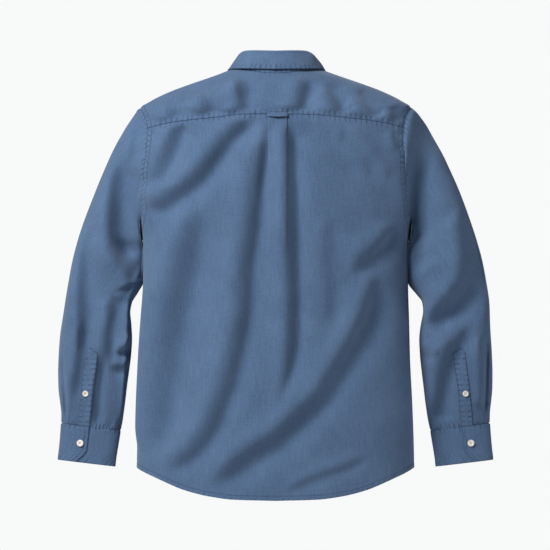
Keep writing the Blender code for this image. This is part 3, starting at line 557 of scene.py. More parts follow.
def plain_normal(s, z):
    step = 0.5
    across = torso_point(s + step, z) - torso_point(s - step, z)
    up = torso_point(s, z + step) - torso_point(s, z - step)
    return unit(np.cross(up, across))


def armhole(turn, ahead):
    """(distance round, height) of the armhole seam at an angle from the armpit."""
    z = (SHOULDER_TIP + ARMPIT) / 2 - (SHOULDER_TIP - ARMPIT) / 2 * np.cos(np.radians(turn))
    side = "ahead" if ahead else "behind"
    share = np.clip(smooth(ARMHOLE, "turn", side, turn) / torso(side, z), 0, 1)
    angle = np.arccos(share ** (torso("square", z) / 2))
    s = np.interp(angle, ARC_TURN, ARC)
    return (2 * QUARTER - s if ahead else s), z


def armhole_round(behind, ahead):
    """(distance round, height) of the armhole seam at angles up its back and down its front."""
    behind_s, behind_z = armhole(behind, False)
    ahead_s, ahead_z = armhole(ahead, True)
    return np.concatenate([behind_s, ahead_s]), np.concatenate([behind_z, ahead_z])


def neck(turn):
    """The neck seam in plan, and its height on the body, by bisection between the sections."""
    angle = np.radians(np.asarray(turn, float))
    x = NECK_WIDE * power(np.sin(angle), 2 / NECK_SQUARE)
    y = NECK_MIDDLE + NECK_DEEP * power(np.cos(angle), 2 / NECK_SQUARE)
    low = np.full(x.shape, NECK_LOWEST)
    high = np.full(x.shape, NECK_HIGHEST)
    for _ in range(HALVINGS):
        mid = (low + high) / 2
        square = torso("square", mid)
        share = (np.abs(x) / torso("half_width", mid)) ** square + (np.abs(y) / torso_depth(y, mid)) ** square
        inside = share < 1
        low = np.where(inside, mid, low)
        high = np.where(inside, high, mid)
    z = (low + high) / 2
    half = torso("square", z) / 2
    over_x = (np.abs(x) / torso("half_width", z)) ** half
    over_y = (np.abs(y) / torso_depth(y, z)) ** half
    turn_on = np.arctan2(over_x, over_y)
    turn_on = np.where(y > 0, turn_on, math.pi - turn_on)
    return around_at(turn_on), z


def body_x(y, z):
    """Half width of the body at a depth and height, for cloth that hangs beside it."""
    square = torso("square", z)
    share = np.clip(1 - (np.abs(y) / torso_depth(y, z)) ** square, 0.0, 1.0)
    return torso("half_width", z) * share ** (1 / square)


def flowing(line, parts=8):
    """A smooth curve through points, or a smooth sheet through rows of points."""
    points = np.array(line, float)
    padded = np.concatenate([2 * points[:1] - points[1:2], points, 2 * points[-1:] - points[-2:-1]])
    curve = []
    for a, b, c, d in zip(padded[:-3], padded[1:-2], padded[2:-1], padded[3:]):
        for t in np.linspace(0, 1, parts, endpoint=False):
            bend = (2 * a - 5 * b + 4 * c - d) * t**2 + (3 * b - a - 3 * c + d) * t**3
            curve.append(0.5 * (2 * b + (c - a) * t + bend))
    return np.array([*curve, points[-1]])


def walked_along(points):
    """How far along a line each of its points lies."""
    return np.concatenate([[0.0], np.cumsum(np.linalg.norm(np.diff(points, axis=0), axis=1))])


def at_places(places, walked, values):
    """A line's points or normals at given places along it."""
    return np.stack([np.interp(places, walked, values[:, axis]) for axis in range(3)], axis=-1)


def beside(line, x, z):
    """How far each point lies to a line's crest side, how far along the line, and the line's length."""
    curve = flowing(line)
    spans = np.diff(curve, axis=0)
    starts = walked_along(curve)
    lengths = np.diff(starts)
    best = np.full(x.shape, 1e9)
    signed = np.zeros(x.shape)
    along = np.zeros(x.shape)
    for start, length, (from_x, from_z), (span_x, span_z) in zip(starts, lengths, curve, spans):
        dx = x - from_x
        dz = z - from_z
        t = np.clip((dx * span_x + dz * span_z) / length**2, 0.0, 1.0)
        off_x = dx - t * span_x
        off_z = dz - t * span_z
        away = np.hypot(off_x, off_z)
        closer = away < best
        side = np.where(span_x * off_z - span_z * off_x < 0, -1.0, 1.0)
        best = np.where(closer, away, best)
        signed = np.where(closer, away * side, signed)
        along = np.where(closer, start + t * length, along)
    return signed, along, starts[-1]


def around_line(line, reach, x, z):
    """Which points lie near enough to a line for it to move them."""
    points = np.array(line, float)
    low = points.min(axis=0) - reach
    high = points.max(axis=0) + reach
    return (x > low[0]) & (x < high[0]) & (z > low[1]) & (z < high[1])


def soft_steps(table, x, z):
    """The cloth's height where folds cross it, each a crest and a hollow on the two sides of its shade."""
    total = np.zeros(x.shape)
    for rise, lit, shade, start, end, line in table[1:]:
        near = around_line(line, 3.4 * max(lit, shade), x, z)
        if not near.any():
            continue
        off, along, length = beside(line, x[near], z[near])
        fade = ease(along, 0, start) * ease(length - along, 0, end)
        narrow = 0.5 + 0.5 * fade
        width = np.where(off > 0, lit, shade) * narrow
        t = off / width
        total[near] += rise * fade * (width / (lit * narrow)) * t * np.exp(0.5 * (1 - t * t))
    return total * settings().fold_depth


def ridges(table, x, z):
    """Ridges, or creases where their height is below zero, along lines and fading at both ends."""
    total = np.zeros(x.shape)
    for height, width, line in table[1:]:
        near = around_line(line, 3 * width, x, z)
        if not near.any():
            continue
        off, along, length = beside(line, x[near], z[near])
        fade = ease(along, 0, 0.25 * length) * ease(length - along, 0, 0.25 * length)
        total[near] += height * np.exp(-((off / width) ** 2)) * (0.15 + 0.85 * fade)
    return total


def slack(x, z, seed):
    """The slight unevenness of cloth that nothing pulls flat."""
    broad = 0.6 * np.sin(x / 19 + z / 113 + 1.3 * np.sin(z / 87 + seed) + seed)
    upright = 0.38 * np.sin(x / 11.3 - z / 71 + 2.1 * seed)
    slanting = 0.3 * np.sin((x + 0.6 * z) / 16.1 + 1.7 * np.sin(x / 43 + seed))
    return broad + upright + slanting


def gathers(along, away, period, reach):
    """Soft puckers that run out from a seam, uneven in width and height."""
    wave = np.sin(2 * math.pi * along / period + 1.7 * np.sin(along / 29) + 0.9 * np.sin(along / 11.7 + 1.0))
    strength = 0.6 + 0.4 * np.sin(along / 41 + 0.7)
    return wave * strength * np.exp(-((away / reach) ** 2))


def armhole_curve():
    """Dense points of the left armhole seam on the plain form, and how far along it they lie."""
    turns = np.linspace(0, 180, 220)
    s, z = armhole_round(turns, turns[-2::-1])
    points = torso_point(s, z)
    return points, walked_along(points)


ARM_CURVE, ARM_WALKED = armhole_curve()


def from_armhole(points):
    """Each body point's distance from the armhole seam on its side, and how far along it the point lies."""
    flat = points.reshape(-1, 3)
    flat = np.column_stack([np.abs(flat[:, 0]), flat[:, 1], flat[:, 2]])
    away = np.full(len(flat), FAR)
    along = np.zeros(len(flat))
    near = np.flatnonzero((flat[:, 0] > 170) & (flat[:, 2] > ARMPIT - 40))
    for part in np.array_split(near, max(1, len(near) // 2000)):
        if len(part) == 0:
            continue
        gaps = np.linalg.norm(flat[part][:, None, :] - ARM_CURVE[None], axis=2)
        closest = gaps.argmin(axis=1)
        away[part] = gaps[np.arange(len(part)), closest]
        along[part] = ARM_WALKED[closest]
    return away.reshape(points.shape[:-1]), along.reshape(points.shape[:-1])


def pleat_height(x, z):
    """The box pleat stands up from under the yoke and dies out down the back."""
    strip = ease(x, PLEAT_RIGHT - PLEAT_LIP, PLEAT_RIGHT) * ease(-x, -PLEAT_LEFT - PLEAT_LIP, -PLEAT_LEFT)
    return PLEAT_HEIGHT * strip * ease(z, PLEAT_GONE, PLEAT_FULL)


def above_hem(x, y, z):
    """How far a point lies above the hem, behind or ahead."""
    behind = z - smooth(BACK_HEM, "x", "z", np.abs(x))
    ahead = z - smooth(FRONT_HEM, "x", "z", np.abs(x))
    return np.where(y > 0, behind, ahead)


def body_surface(s, z, lift=0.0, below_yoke=True):
    """Points of the body's cloth with its folds, and each one's place by its nearest seam: along, away."""
    s = np.asarray(s, float)
    z = np.asarray(z, float) + 0 * s
    base = torso_point(s, z)
    x = base[..., 0]
    y = base[..., 1]
    behind = ease(y, *SIDE_TURN)
    ahead = ease(-y, *SIDE_TURN)
    from_seam = z - smooth(YOKE_SEAM, "x", "z", np.abs(x))
    arm_away, arm_along = from_armhole(base)
    hem_up = above_hem(x, y, z)
    if below_yoke:
        back = soft_steps(BACK_FOLDS, x, z) + ridges(BACK_CREASES, x, z)
        back = back * ease(-from_seam, -1, 14) + pleat_height(x, z)
    else:
        back = soft_steps(YOKE_FOLDS, x, z) * ease(from_seam, 0, 14) * ease(-z, -4, 10)
        back = back + pleat_height(x, np.minimum(z, -74.0)) * ease(-from_seam, -5, 0)
    shoulder = ease(-z, 70, 110)
    front = ridges(FRONT_RIDGES, x, z) * shoulder * ease(np.abs(x), 22, 60)
    calm = ease(arm_away, 0, 30) * ease(-z, -2, 24)
    height = behind * back + ahead * front + slack(x, z, 0.6) * 0.55 * calm * ease(np.abs(y), 0, 30)
    height = height + BAND_RISE * (1 - ease(arm_away, ARM_BAND - 1, ARM_BAND + 0.6))
    height = height + BAND_RISE * (1 - ease(hem_up, HEM_WIDE - 1.2, HEM_WIDE + 0.6))
    seam_away = np.where(y > 0, np.abs(from_seam), FAR)
    turned_up = hem_up + HEM_CALM
    height = height + 0.5 * gathers(x, seam_away, *YOKE_PUCKERS) * behind * (0.5 if below_yoke else 1.0)
    height = height + 0.35 * gathers(x + s * 0.1, hem_up, *HEM_PUCKERS)
    full = ease(-z, 80, 130) * ease(z, -340, -250) * behind
    height = height + ARM_RIDGE * np.exp(-((arm_away / ARM_RIDGE_REACH) ** 2)) * full
    point = base + plain_normal(s, z) * (height + lift)[..., None]
    point[..., 2] -= SHOULDER_DROP * ease(x, 60, 110) * ease(z, -150, -60)
    along = np.where(seam_away < hem_up, x, x + 0.8 * hem_up)
    away = np.minimum(seam_away, turned_up)
    along = np.where(arm_away < away, arm_along + 0.3 * arm_away, along)
    band = np.where(arm_away < hem_up, arm_away - ARM_BAND, hem_up - HEM_WIDE)
    return point, seam_map(along, np.minimum(arm_away, away), band)


def seam_map(along, away, band=FAR):
    """What the cloth's material reads at each point: place along the nearest seam and distances from it,
    which set its puckers and the painted shade in its grooves.
    """
    return np.stack([along, away, band + 0 * away], axis=-1)


def grid_normals(grid, closed):
    """Normals of a sheet of points, from the points on either side."""
    if closed:
        across = np.roll(grid, -1, axis=1) - np.roll(grid, 1, axis=1)
    else:
        across = np.gradient(grid, axis=1)
    return unit(np.cross(across, np.gradient(grid, axis=0)))


def pleat_columns(side, z):
    """Distances round from the back's middle to just past the pleat's edge, close together at its lip."""
    edge = PLEAT_LEFT if side > 0 else -PLEAT_RIGHT
    inner = around_for_x(edge, z)
    lip = around_for_x(edge + PLEAT_LIP, z)
    return np.concatenate([np.linspace(0, inner, 7), np.linspace(inner, lip, 4)[1:]])


def side_edge(hem, end, ahead, body_rows, arm_rows):
    """A panel's edge up the side seam and the armhole: distance round, height and share of the way up."""
    arm_s, arm_z = armhole(np.linspace(0, end, arm_rows + 1), ahead)
    hem_side = float(smooth(hem, "x", "z", SIDE_X))
    z = np.concatenate([np.linspace(hem_side, ARMPIT, body_rows + 1)[:-1], arm_z])
    s = np.concatenate([np.full(body_rows, QUARTER), arm_s])
    return s, z, (z - z[0]) / (z[-1] - z[0])


def back_domain(side):
    """(distance round, height) of the back from hem to yoke seam, from its middle to the side."""
    rows = []
    for side_s, side_z, share in zip(*side_edge(BACK_HEM, YOKE_END, False, BODY_ROWS, ARM_ROWS)):
        inside = pleat_columns(side, side_z)
        s = np.concatenate([inside, np.linspace(inside[-1], side_s, BACK_COLUMNS + 1)[1:]])
        x = np.abs(torso_point(s, np.full(s.shape, side_z))[:, 0])
        low = smooth(BACK_HEM, "x", "z", x)
        high = smooth(YOKE_SEAM, "x", "z", x)
        z = low + (high - low) * share
        z[-1] = side_z
        rows.append(np.stack([s * side, z], axis=-1))
    return np.array(rows)


def yoke_domain(side):
    """The yoke from its lower edge to the neck, from the middle of the back to the shoulder seam."""
    seam = back_domain(side)[-1]
    seam_s = np.abs(seam[:, 0])
    up = np.linspace(YOKE_END, 180, TIP_COLUMNS + 1)[1:]
    down = np.linspace(180, YOKE_FRONT, TIP_COLUMNS + 1)[1:]
    tip_s, tip_z = armhole_round(up, down)
    low_s = np.concatenate([seam_s, tip_s])
    low_z = np.concatenate([seam[:, 1], tip_z])
    over = np.linspace(YOKE_BACK_NECK, YOKE_NECK, 2 * TIP_COLUMNS + 1)[1:]
    turns = np.concatenate([seam_s / seam_s[-1] * YOKE_BACK_NECK, over])
    high_s, high_z = neck(turns)
    rows = []
    for share in np.linspace(0, 1, YOKE_ROWS + 1) ** 1.25:
        s = low_s + (high_s - low_s) * share
        rows.append(np.stack([side * s, low_z + (high_z - low_z) * share], axis=-1))
    return np.array(rows)


def front_neck_turns(count):
    """Angles round the neck up to the placket."""
    last = 180 - math.degrees(math.asin((PLACKET_HALF / NECK_WIDE) ** (NECK_SQUARE / 2)))
    return np.linspace(YOKE_NECK, last, count + 1)


def front_domain(side):
    """A front from hem to shoulder seam and neck, from the side seam to the front edge past the middle."""
    side_s, side_z, share = side_edge(FRONT_HEM, YOKE_FRONT, True, FRONT_BODY_ROWS, FRONT_ARM_ROWS)
    seam = np.linspace(0, 1, SEAM_COLUMNS + 1)
    neck_s, neck_z = neck(np.array([YOKE_NECK]))
    seam_s = side_s[-1] + (neck_s[0] - side_s[-1]) * seam
    seam_z = side_z[-1] + (neck_z[0] - side_z[-1]) * seam
    ring_s, ring_z = neck(front_neck_turns(NECK_COLUMNS)[1:])
    _, middle_z = neck(np.array([180.0]))
    strip = np.linspace(0, 1, STRIP_COLUMNS + 1)[1:]
    strip_s = ring_s[-1] + (4 * QUARTER - 2 * ring_s[-1]) * strip
    strip_z = ring_z[-1] + (middle_z[0] - ring_z[-1]) * np.sin(math.pi * strip)
    top_s = np.concatenate([seam_s, ring_s, strip_s])
    top_z = np.concatenate([seam_z, ring_z, strip_z])
    edge = float(around_for_x(PLACKET_HALF, FRONT_HEM_LEVEL, True))
    outer = len(top_s) - STRIP_COLUMNS
    low_s = np.concatenate([np.linspace(side_s[0], edge, outer), edge + (4 * QUARTER - 2 * edge) * strip])
    low_x = np.abs(torso_point(low_s, np.full(low_s.shape, FRONT_HEM_LEVEL))[:, 0])
    low_z = smooth(FRONT_HEM, "x", "z", low_x)
    low_z[0] = side_z[0]
    t = np.arange(len(top_s)) / (len(top_s) - 1)
    rows = []
    for at_s, at_z, v in zip(side_s, side_z, share):
        s = (1 - v) * low_s + v * top_s
        z = (1 - v) * low_z + v * top_z
        s = s + (1 - t) * (at_s - s[0])
        z = z + (1 - t) * (at_z - z[0])
        rows.append(np.stack([side * s, z], axis=-1))
    return np.array(rows)


def tucked(grid, outward, run=TUCK_RUN, depth=TUCK_DEPTH):
    """A sheet whose last row lies under the next piece: it dips at its edge and runs on a little."""
    along = unit(grid[-1] - grid[-2])
    out = unit(outward)
    under = grid[-1] - out * depth
    rows = [grid[-1] - out * EDGE_DIP, under + along * 0.9, under + along * run]
    return np.concatenate([grid[:-1], np.array(rows)])


def same_last(values, extra):
    """Values by row, with the last row given again for each row that a tuck adds."""
    return np.concatenate([values, np.repeat(values[-1:], extra, axis=0)])


def linear(hex_colour):
    """An sRGB hex colour as the linear numbers that a shader takes."""
    channels = [int(hex_colour[i : i + 2], 16) / 255 for i in (1, 3, 5)]
    return tuple(c / 12.92 if c <= 0.04045 else ((c + 0.055) / 1.055) ** 2.4 for c in channels)


def colour_setting(name, description, hex_colour):
    """A colour that a user may change."""
    default = linear(hex_colour)
    return FloatVectorProperty(
        name=name, description=description, subtype="COLOR", min=0, max=1, default=default
    )


def length_setting(name, description, metres):
    """A length that a user may change."""
    return FloatProperty(name=name, description=description, unit="LENGTH", default=metres)


class ShirtSettings(bpy.types.PropertyGroup):
    """What a user would change: the cloth, its yarns, the buttons and the sewing."""

    yarn_dark: colour_setting("Dark yarn", "Dyed warp of the chambray", "#2A405B")
    yarn_pale: colour_setting("Pale yarn", "Paler weft of the chambray", "#5E7792")
    thread_colour: colour_setting("Thread colour", "Sewing thread of the seams", "#4C6386")
    button_colour: colour_setting("Buttons", "Body colour of the buttons", "#E9E3D9")
    button_thread_colour: colour_setting("Button thread", "Thread that holds the buttons", "#D6CFC2")
    cloth_thick: length_setting("Cloth", "Thickness of one layer of cloth", 0.0007)
    band_thick: length_setting("Stiffened cloth", "Thickness of collar and cuffs", 0.0012)
    stitch_long: length_setting("Stitch", "Length of one stitch that shows", 0.0026)
    stitch_gap: length_setting("Stitch gap", "Gap between two stitches", 0.0009)
    thread_thick: length_setting("Thread", "Radius of the sewing thread", 0.00016)
    fold_depth: FloatProperty(
        name="Folds", description="How deep the folds hang, against the plain form", default=2.2
    )


def settings():
    """The settings of the scene at hand."""
    return bpy.context.scene.shirt_settings


def only(obj):
    """Selects one object alone and makes it the active one."""
    for other in bpy.context.selected_objects:
        other.select_set(False)
    bpy.context.view_layer.objects.active = obj
    obj.select_set(True)


def finished(obj, material, nodes):
    """Gives a piece its material and its place in the frame."""
    obj.data.materials.clear()
    obj.data.materials.append(material)
    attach(obj, "root")
    if nodes:
        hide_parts(*nodes)


def modified(obj, kind, **settings_of_modifier):
    """Adds one modifier to an object and applies it."""
    modifier = obj.modifiers.new("made", kind)
    for name, value in settings_of_modifier.items():
        setattr(modifier, name, value)
    only(obj)
    bpy.ops.object.modifier_apply(modifier=modifier.name)


def down_columns(grid):
    """How far each point of a grid lies from its column's first point, along the column."""
    steps = np.linalg.norm(np.diff(grid, axis=0), axis=2)
    return np.concatenate([np.zeros((1, grid.shape[1])), np.cumsum(steps, axis=0)])


def cloth_map(grid, closed, middle, level):
    """Distances across and along the cloth from one of its columns and one of its rows, in metres."""
    if closed:
        grid = np.concatenate([grid, grid[:, :1]], axis=1)
    across = down_columns(grid.swapaxes(0, 1)).T
    along = down_columns(grid)
    across = across - across[:, middle : middle + 1]
    along = along - along[level : level + 1]
    return np.stack([across, along], axis=-1) * MM


def panel(name, grid, seam, thickness, nodes, closed=False, flip=False, middle=0, level=0):
    """A piece of cloth from a grid of its outer points: its wall thickens inwards."""
    rows, count = grid.shape[:2]
    wide = count if closed else count - 1
    r, c = np.meshgrid(np.arange(rows - 1), np.arange(wide), indexing="ij")
    r = r.ravel()
    c = c.ravel()
    right = (c + 1) % count
    low = r * count
    high = low + count
    corners = np.stack([low + c, low + right, high + right, high + c], axis=1)
    places = cloth_map(grid, closed, middle, level)
    corner_map = np.stack([places[r, c], places[r, c + 1], places[r + 1, c + 1], places[r + 1, c]], axis=1)
    if flip:
        corners = corners[:, ::-1]
        corner_map = corner_map[:, ::-1]
    mesh = bpy.data.meshes.new(name)
    mesh.from_pydata((grid.reshape(-1, 3) * MM).tolist(), [], corners.tolist())
    layer = mesh.uv_layers.new(name="cloth")
    layer.data.foreach_set("uv", corner_map.reshape(-1).astype(np.float32))
    near_seam = mesh.attributes.new("seam", "FLOAT_VECTOR", "POINT")
    near_seam.data.foreach_set("vector", seam.reshape(-1).astype(np.float32))
    obj = bpy.data.objects.new(name, mesh)
    bpy.context.scene.collection.objects.link(obj)
    modified(obj, "SOLIDIFY", thickness=thickness, offset=-1.0, use_even_offset=False)
    bpy.ops.object.shade_smooth_by_angle(angle=math.radians(50))
    finished(obj, shared("cotton_chambray", chambray), nodes)


def both_sides(domain):
    """A grid of the whole width from its left half and its right half."""
    left = domain(1)
    right = domain(-1)
    return np.concatenate([right[:, :0:-1], left], axis=1), right.shape[1] - 1


def back_sheet():
    """The back's grid, its places by the nearest seam, and its middle column."""
    domain, middle = both_sides(back_domain)
    points, seam = body_surface(domain[..., 0], domain[..., 1])
    out = plain_normal(domain[-1, :, 0], domain[-1, :, 1])
    return tucked(points, out), same_last(seam, 2), middle


def yoke_sheet():
    """The yoke's grid, its places by the nearest seam, and its middle column."""
    domain, middle = both_sides(yoke_domain)
    points, seam = body_surface(domain[..., 0], domain[..., 1], YOKE_LIFT, below_yoke=False)
    out = plain_normal(domain[-1, :, 0], domain[-1, :, 1])
    return tucked(points, out, 2.0), same_last(seam, 2), middle


def front_sheet(side):
    """A front's grid and its places by the nearest seam. The right front lies under the left one's strip."""
    domain = front_domain(side)
    columns = np.arange(domain.shape[1])
    outer = domain.shape[1] - STRIP_COLUMNS - 1
    lift = np.zeros(domain.shape[:2])
    if side < 0:
        lift = lift - UNDER_STRIP * ease(columns, outer - 6, outer)[None]
    points, seam = body_surface(domain[..., 0], domain[..., 1], lift)
    out = plain_normal(domain[..., 0], domain[..., 1])
    points = tucked(points, out[-1])
    out = same_last(out, 2)
    seam = same_last(seam, 2)
    # Below the armpit the side edge lies under the back's.
    below = ease(ARMPIT - points[:, 0, 2], 0, 12)[:, None]
    away = unit(points[:, 0] - points[:, 1])
    first = points[:, 0] - out[:, 0] * EDGE_DIP * below
    second = points[:, 0] + away * (0.3 + 0.6 * below) - out[:, 0] * (0.1 + 0.9 * below)
    third = points[:, 0] + away * (0.6 + 2.6 * below) - out[:, 0] * (0.2 + 0.8 * below)
    points = np.concatenate([third[:, None], second[:, None], first[:, None], points[:, 1:]], axis=1)
    seam = np.concatenate([seam[:, :1], seam[:, :1], seam], axis=1)
    return points, seam


def placket_sheet():
    """The strip on the left front's edge, made from that front's own points moved out."""
    domain = front_domain(1)[:, -STRIP_COLUMNS - 1 :]
    across = np.linspace(0, 1, STRIP_COLUMNS + 1)
    edge = 2 * PLACKET_HALF * np.minimum(across, 1 - across)
    lift = PLACKET_LIFT - 0.4 * (1 - ease(edge, 0, 1.8))[None] + 0 * domain[..., 0]
    points, _ = body_surface(domain[..., 0], domain[..., 1], lift)
    out = plain_normal(domain[..., 0], domain[..., 1])
    along = points[..., 2]
    return points, seam_map(along, edge[None] + 0 * along), out


def neck_point(turn):
    """A point of the neck seam, at either side."""
    turn = np.asarray(turn, float)
    folded = np.where(np.abs(turn) > 180, 360 - np.abs(turn), np.abs(turn))
    s, z = neck(folded)
    point = torso_point(s, z)
    side = np.where(turn < 0, -1, 1) * np.where(np.abs(turn) > 180, -1, 1)
    point[:, 0] = point[:, 0] * side
    return point


def outward_at(turn):
    """The level way out from the neck at an angle from the back."""
    angle = np.radians(turn)
    return np.stack([np.sin(angle), np.cos(angle), 0 * angle], axis=-1)


def stand_row(turn, height, lift):
    """The collar stand's outer side at a share of its height, moved out or in."""
    foot = neck_point(turn)
    angle = np.radians(turn)
    size = np.abs(turn)
    top = np.stack(
        [
            smooth(COLLAR, "turn", "stand_x", size) * np.sin(angle),
            STAND_MIDDLE + smooth(COLLAR, "turn", "stand_y", size) * np.cos(angle),
            smooth(COLLAR, "turn", "top_z", size),
        ],
        axis=-1,
    )
    clear = 0.8 * ease(size, 80, 120) - 0.6
    return foot + unit(top - foot) * clear[:, None] + (top - foot) * height + outward_at(turn) * lift[:, None]


def stand_sheet():
    """The collar stand's grid, its places by its foot, and the angle of each column."""
    last = front_neck_turns(1)[-1]
    half = np.concatenate([np.linspace(0, last, 92), np.linspace(last, 360 - last, 16)[1:]])
    turn = np.concatenate([-half[:0:-1], half])
    lift = 0.5 - 3.2 * ease(-turn, 144, 154) + 0.4 * ease(turn, 146, 154)
    grid = np.array([stand_row(turn, h, lift) for h in np.linspace(0, 1, 15)])
    away = grid[..., 2] - grid[:1, :, 2]
    along = walked_along(grid[0])[None] + 0 * away
    return grid, seam_map(along, away), turn


def leaf_sheet():
    """Folded over the stand: up from its top, over, and down outside to the free edge."""
    turn = np.linspace(-170, 170, 171)
    size = np.abs(turn)
    out = outward_at(turn)
    top = stand_row(turn, 1.0, np.zeros(turn.shape))
    edge = np.stack(
        [
            (smooth(LEAF_EDGE, "turn", "x", size) + LEAF_LEAN * ease(-turn, 20, 80)) * np.sign(turn),
            smooth(LEAF_EDGE, "turn", "y", size),
            smooth(LEAF_EDGE, "turn", "z", size),
        ],
        axis=-1,
    )
    run = unit(np.gradient(top, axis=0))
    up = unit(np.array([0.0, 0.0, 1.0]) - run * run[:, 2:])
    top = top + (up + out * 1.2) * (ease(size, 80, 104) * ease(-size, -160, -140))[:, None]
    rows = [top + out * -2.0 + up * 1.3, top + out * -1.6 + up * 3.8, top + out * 0.6 + up * 5.4]
    # At the sides the leaf leans out from its very fold, a little more on the wearer's right.
    lean = (6.0 * ease(size, 30, 85) + LEAF_LEAN * ease(-turn, 30, 80))[:, None]
    rows.append(top + out * (3.2 + 0.45 * lean) + up * 3.6)
    first = top + out * (4.2 + lean) - up
    for v in (0.0, 0.3, 0.65, 1.0):
        rows.append(first + (edge - first) * v + out * 0.9 * math.sin(math.pi * v))
    grid = flowing(rows, 6)
    normals = grid_normals(grid, False)
    away = down_columns(grid[::-1])[::-1]
    along = walked_along(edge)[None] + 0 * away
    uneven = 0.5 * np.sin(along / 17 + 0.6) + 0.35 * np.sin(along / 8.3 + away / 6)
    height = uneven * ease(away, 0, 8) * ease(-away, -40, -26) - 0.35 * (1 - ease(away, 0, 1.5))
    return grid + normals * height[..., None], seam_map(along, away)


def inward_way(points, out, tangent):
    """The way over the cloth from an armhole's line towards the body's middle."""
    inward = unit(np.cross(out, tangent))
    return -inward if np.sum((np.array(BODY_MIDDLE) - points) * inward) < 0 else inward


def arm_ring(side):
    """Points of an armhole seam, up the back and down the front, the body's normals and inward ways."""
    up = np.linspace(0, YOKE_END, RING_ARM + 1)
    over = np.linspace(YOKE_END, 180, RING_TIP + 1)[1:]
    back_over = np.linspace(180, YOKE_FRONT, RING_TIP + 1)[1:]
    down = np.linspace(YOKE_FRONT, 0, RING_ARM + 1)[1:-1]
    s, z = armhole_round(np.concatenate([up, over]), np.concatenate([back_over, down]))
    points, _ = body_surface(s * side, z)
    points[:, 0] *= side
    out = plain_normal(s, z)
    tangent = unit(np.roll(points, -1, axis=0) - np.roll(points, 1, axis=0))
    return points, out, inward_way(points, out, tangent), RING_ARM + RING_TIP


def ring_clock(ring, tip):
    """Each armhole point's angle seen along the sleeve, from 0 at the armpit, and its distance round."""
    lengths = np.linalg.norm(np.roll(ring, -1, axis=0) - ring, axis=1)
    walked = np.concatenate([[0.0], np.cumsum(lengths)[:-1]])
    up = math.pi * walked / walked[tip]
    down = math.pi + math.pi * (walked - walked[tip]) / (lengths.sum() - walked[tip])
    return np.where(np.arange(len(ring)) <= tip, up, down), walked


def strip_shift(middle, half, square, clock):
    """How far round the columns move so that two of them run along the edges of the sleeve's placket."""
    shifts = [0.0]
    for name, edge in (("open_x", STRIP_OPEN), ("far_x", STRIP_FAR)):
        share = np.clip((float(smooth(SLEEVE_SLIT, "z", name, middle[2])) - middle[0]) / half, -0.9, 0.9)
        shifts.append(math.acos(-math.copysign(abs(share) ** (1 / square), share)) - edge)
    return np.interp(clock, [0.0, STRIP_OPEN, STRIP_FAR, math.pi, 2 * math.pi], [*shifts, 0.0, 0.0])


def sleeve_section(at, clock, ring):
    """One ring of the left sleeve. The armhole's own shape gives way to a plain section down the arm."""
    value = {name: float(smooth(SLEEVE, "at", name, at)) for name in SLEEVE[0][1:]}
    outer = np.array([value["outer_x"], 0, value["outer_z"]])
    inner = np.array([value["inner_x"], 0, value["inner_z"]])
    middle = (outer + inner) / 2
    half = np.linalg.norm(outer - inner) / 2
    along = (outer - inner) / (2 * half)
    square = 2 / value["square"]
    if at > SLIT_FROM:
        clock = clock + strip_shift(middle, half, square, clock) * ease(at, SLIT_FROM, SLIT_FULL)
    plain = middle + np.outer(-power(np.cos(clock), square) * half, along)
    plain[:, 1] = value["middle"] + power(np.sin(clock), square) * value["depth"]
    if ring is None:
        return plain
    top = np.array([ARM_TOP_X, 0, SHOULDER_TIP])
    foot = np.array([ARM_FOOT_X, 0, ARMPIT])
    reach = np.linalg.norm(top - foot) / 2
    up = (top - foot) / (2 * reach)
    out = np.array([-up[2], 0, up[0]])
    local = ring - (top + foot) / 2
    turned = np.array([-along[2], 0, along[0]])
    kept = middle + np.outer(local @ up / reach * half, along) + np.outer(local @ out, turned)
    kept[:, 1] = ring[:, 1] + value["middle"] + 3
    share = ease(at, 0, SECTION_PLAIN)
    return kept * (1 - share) + plain * share


def sleeve_relief(plain, side, steps, normals):
    """How a sleeve's folds move its plain points, which are those of the left sleeve: back or forward."""
    x = plain[..., 0]
    z = plain[..., 2]
    folds = SLEEVE_LEFT_FOLDS if side > 0 else SLEEVE_RIGHT_FOLDS
    creases = LEFT_CREASES if side > 0 else RIGHT_CREASES
    behind = ease(normals[..., 1], 0.0, 0.5)
    ahead = ease(-normals[..., 1], 0.0, 0.5)
    nearly_all = ease(normals[..., 1], -0.15, 0.15)
    height = behind * 1.25 * soft_steps(folds, x * side, z) + nearly_all * ridges(creases, x * side, z)
    height = height - ahead * ridges(SLEEVE_FRONT_RIDGES, x, z)
    ends = ease(steps, 0.0, 0.8) * ease(SLEEVE_STEPS - steps, 0.0, 1.1)
    move = normals * (0.7 * slack(x, z, 1.9 if side > 0 else 3.3))[..., None]
    move[..., 1] += height
    move = move * ends[:, None, None]
    # The head of the sleeve falls away from the armhole seam and comes back further out.
    t = steps[:, None] / HEAD_REACH
    fall = HEAD_FALL[side > 0] * t * np.exp(1 - t)
    move[..., 1] -= behind * fall * ease(-z, 56, 84) * ease(z, -400, -250)
    return move


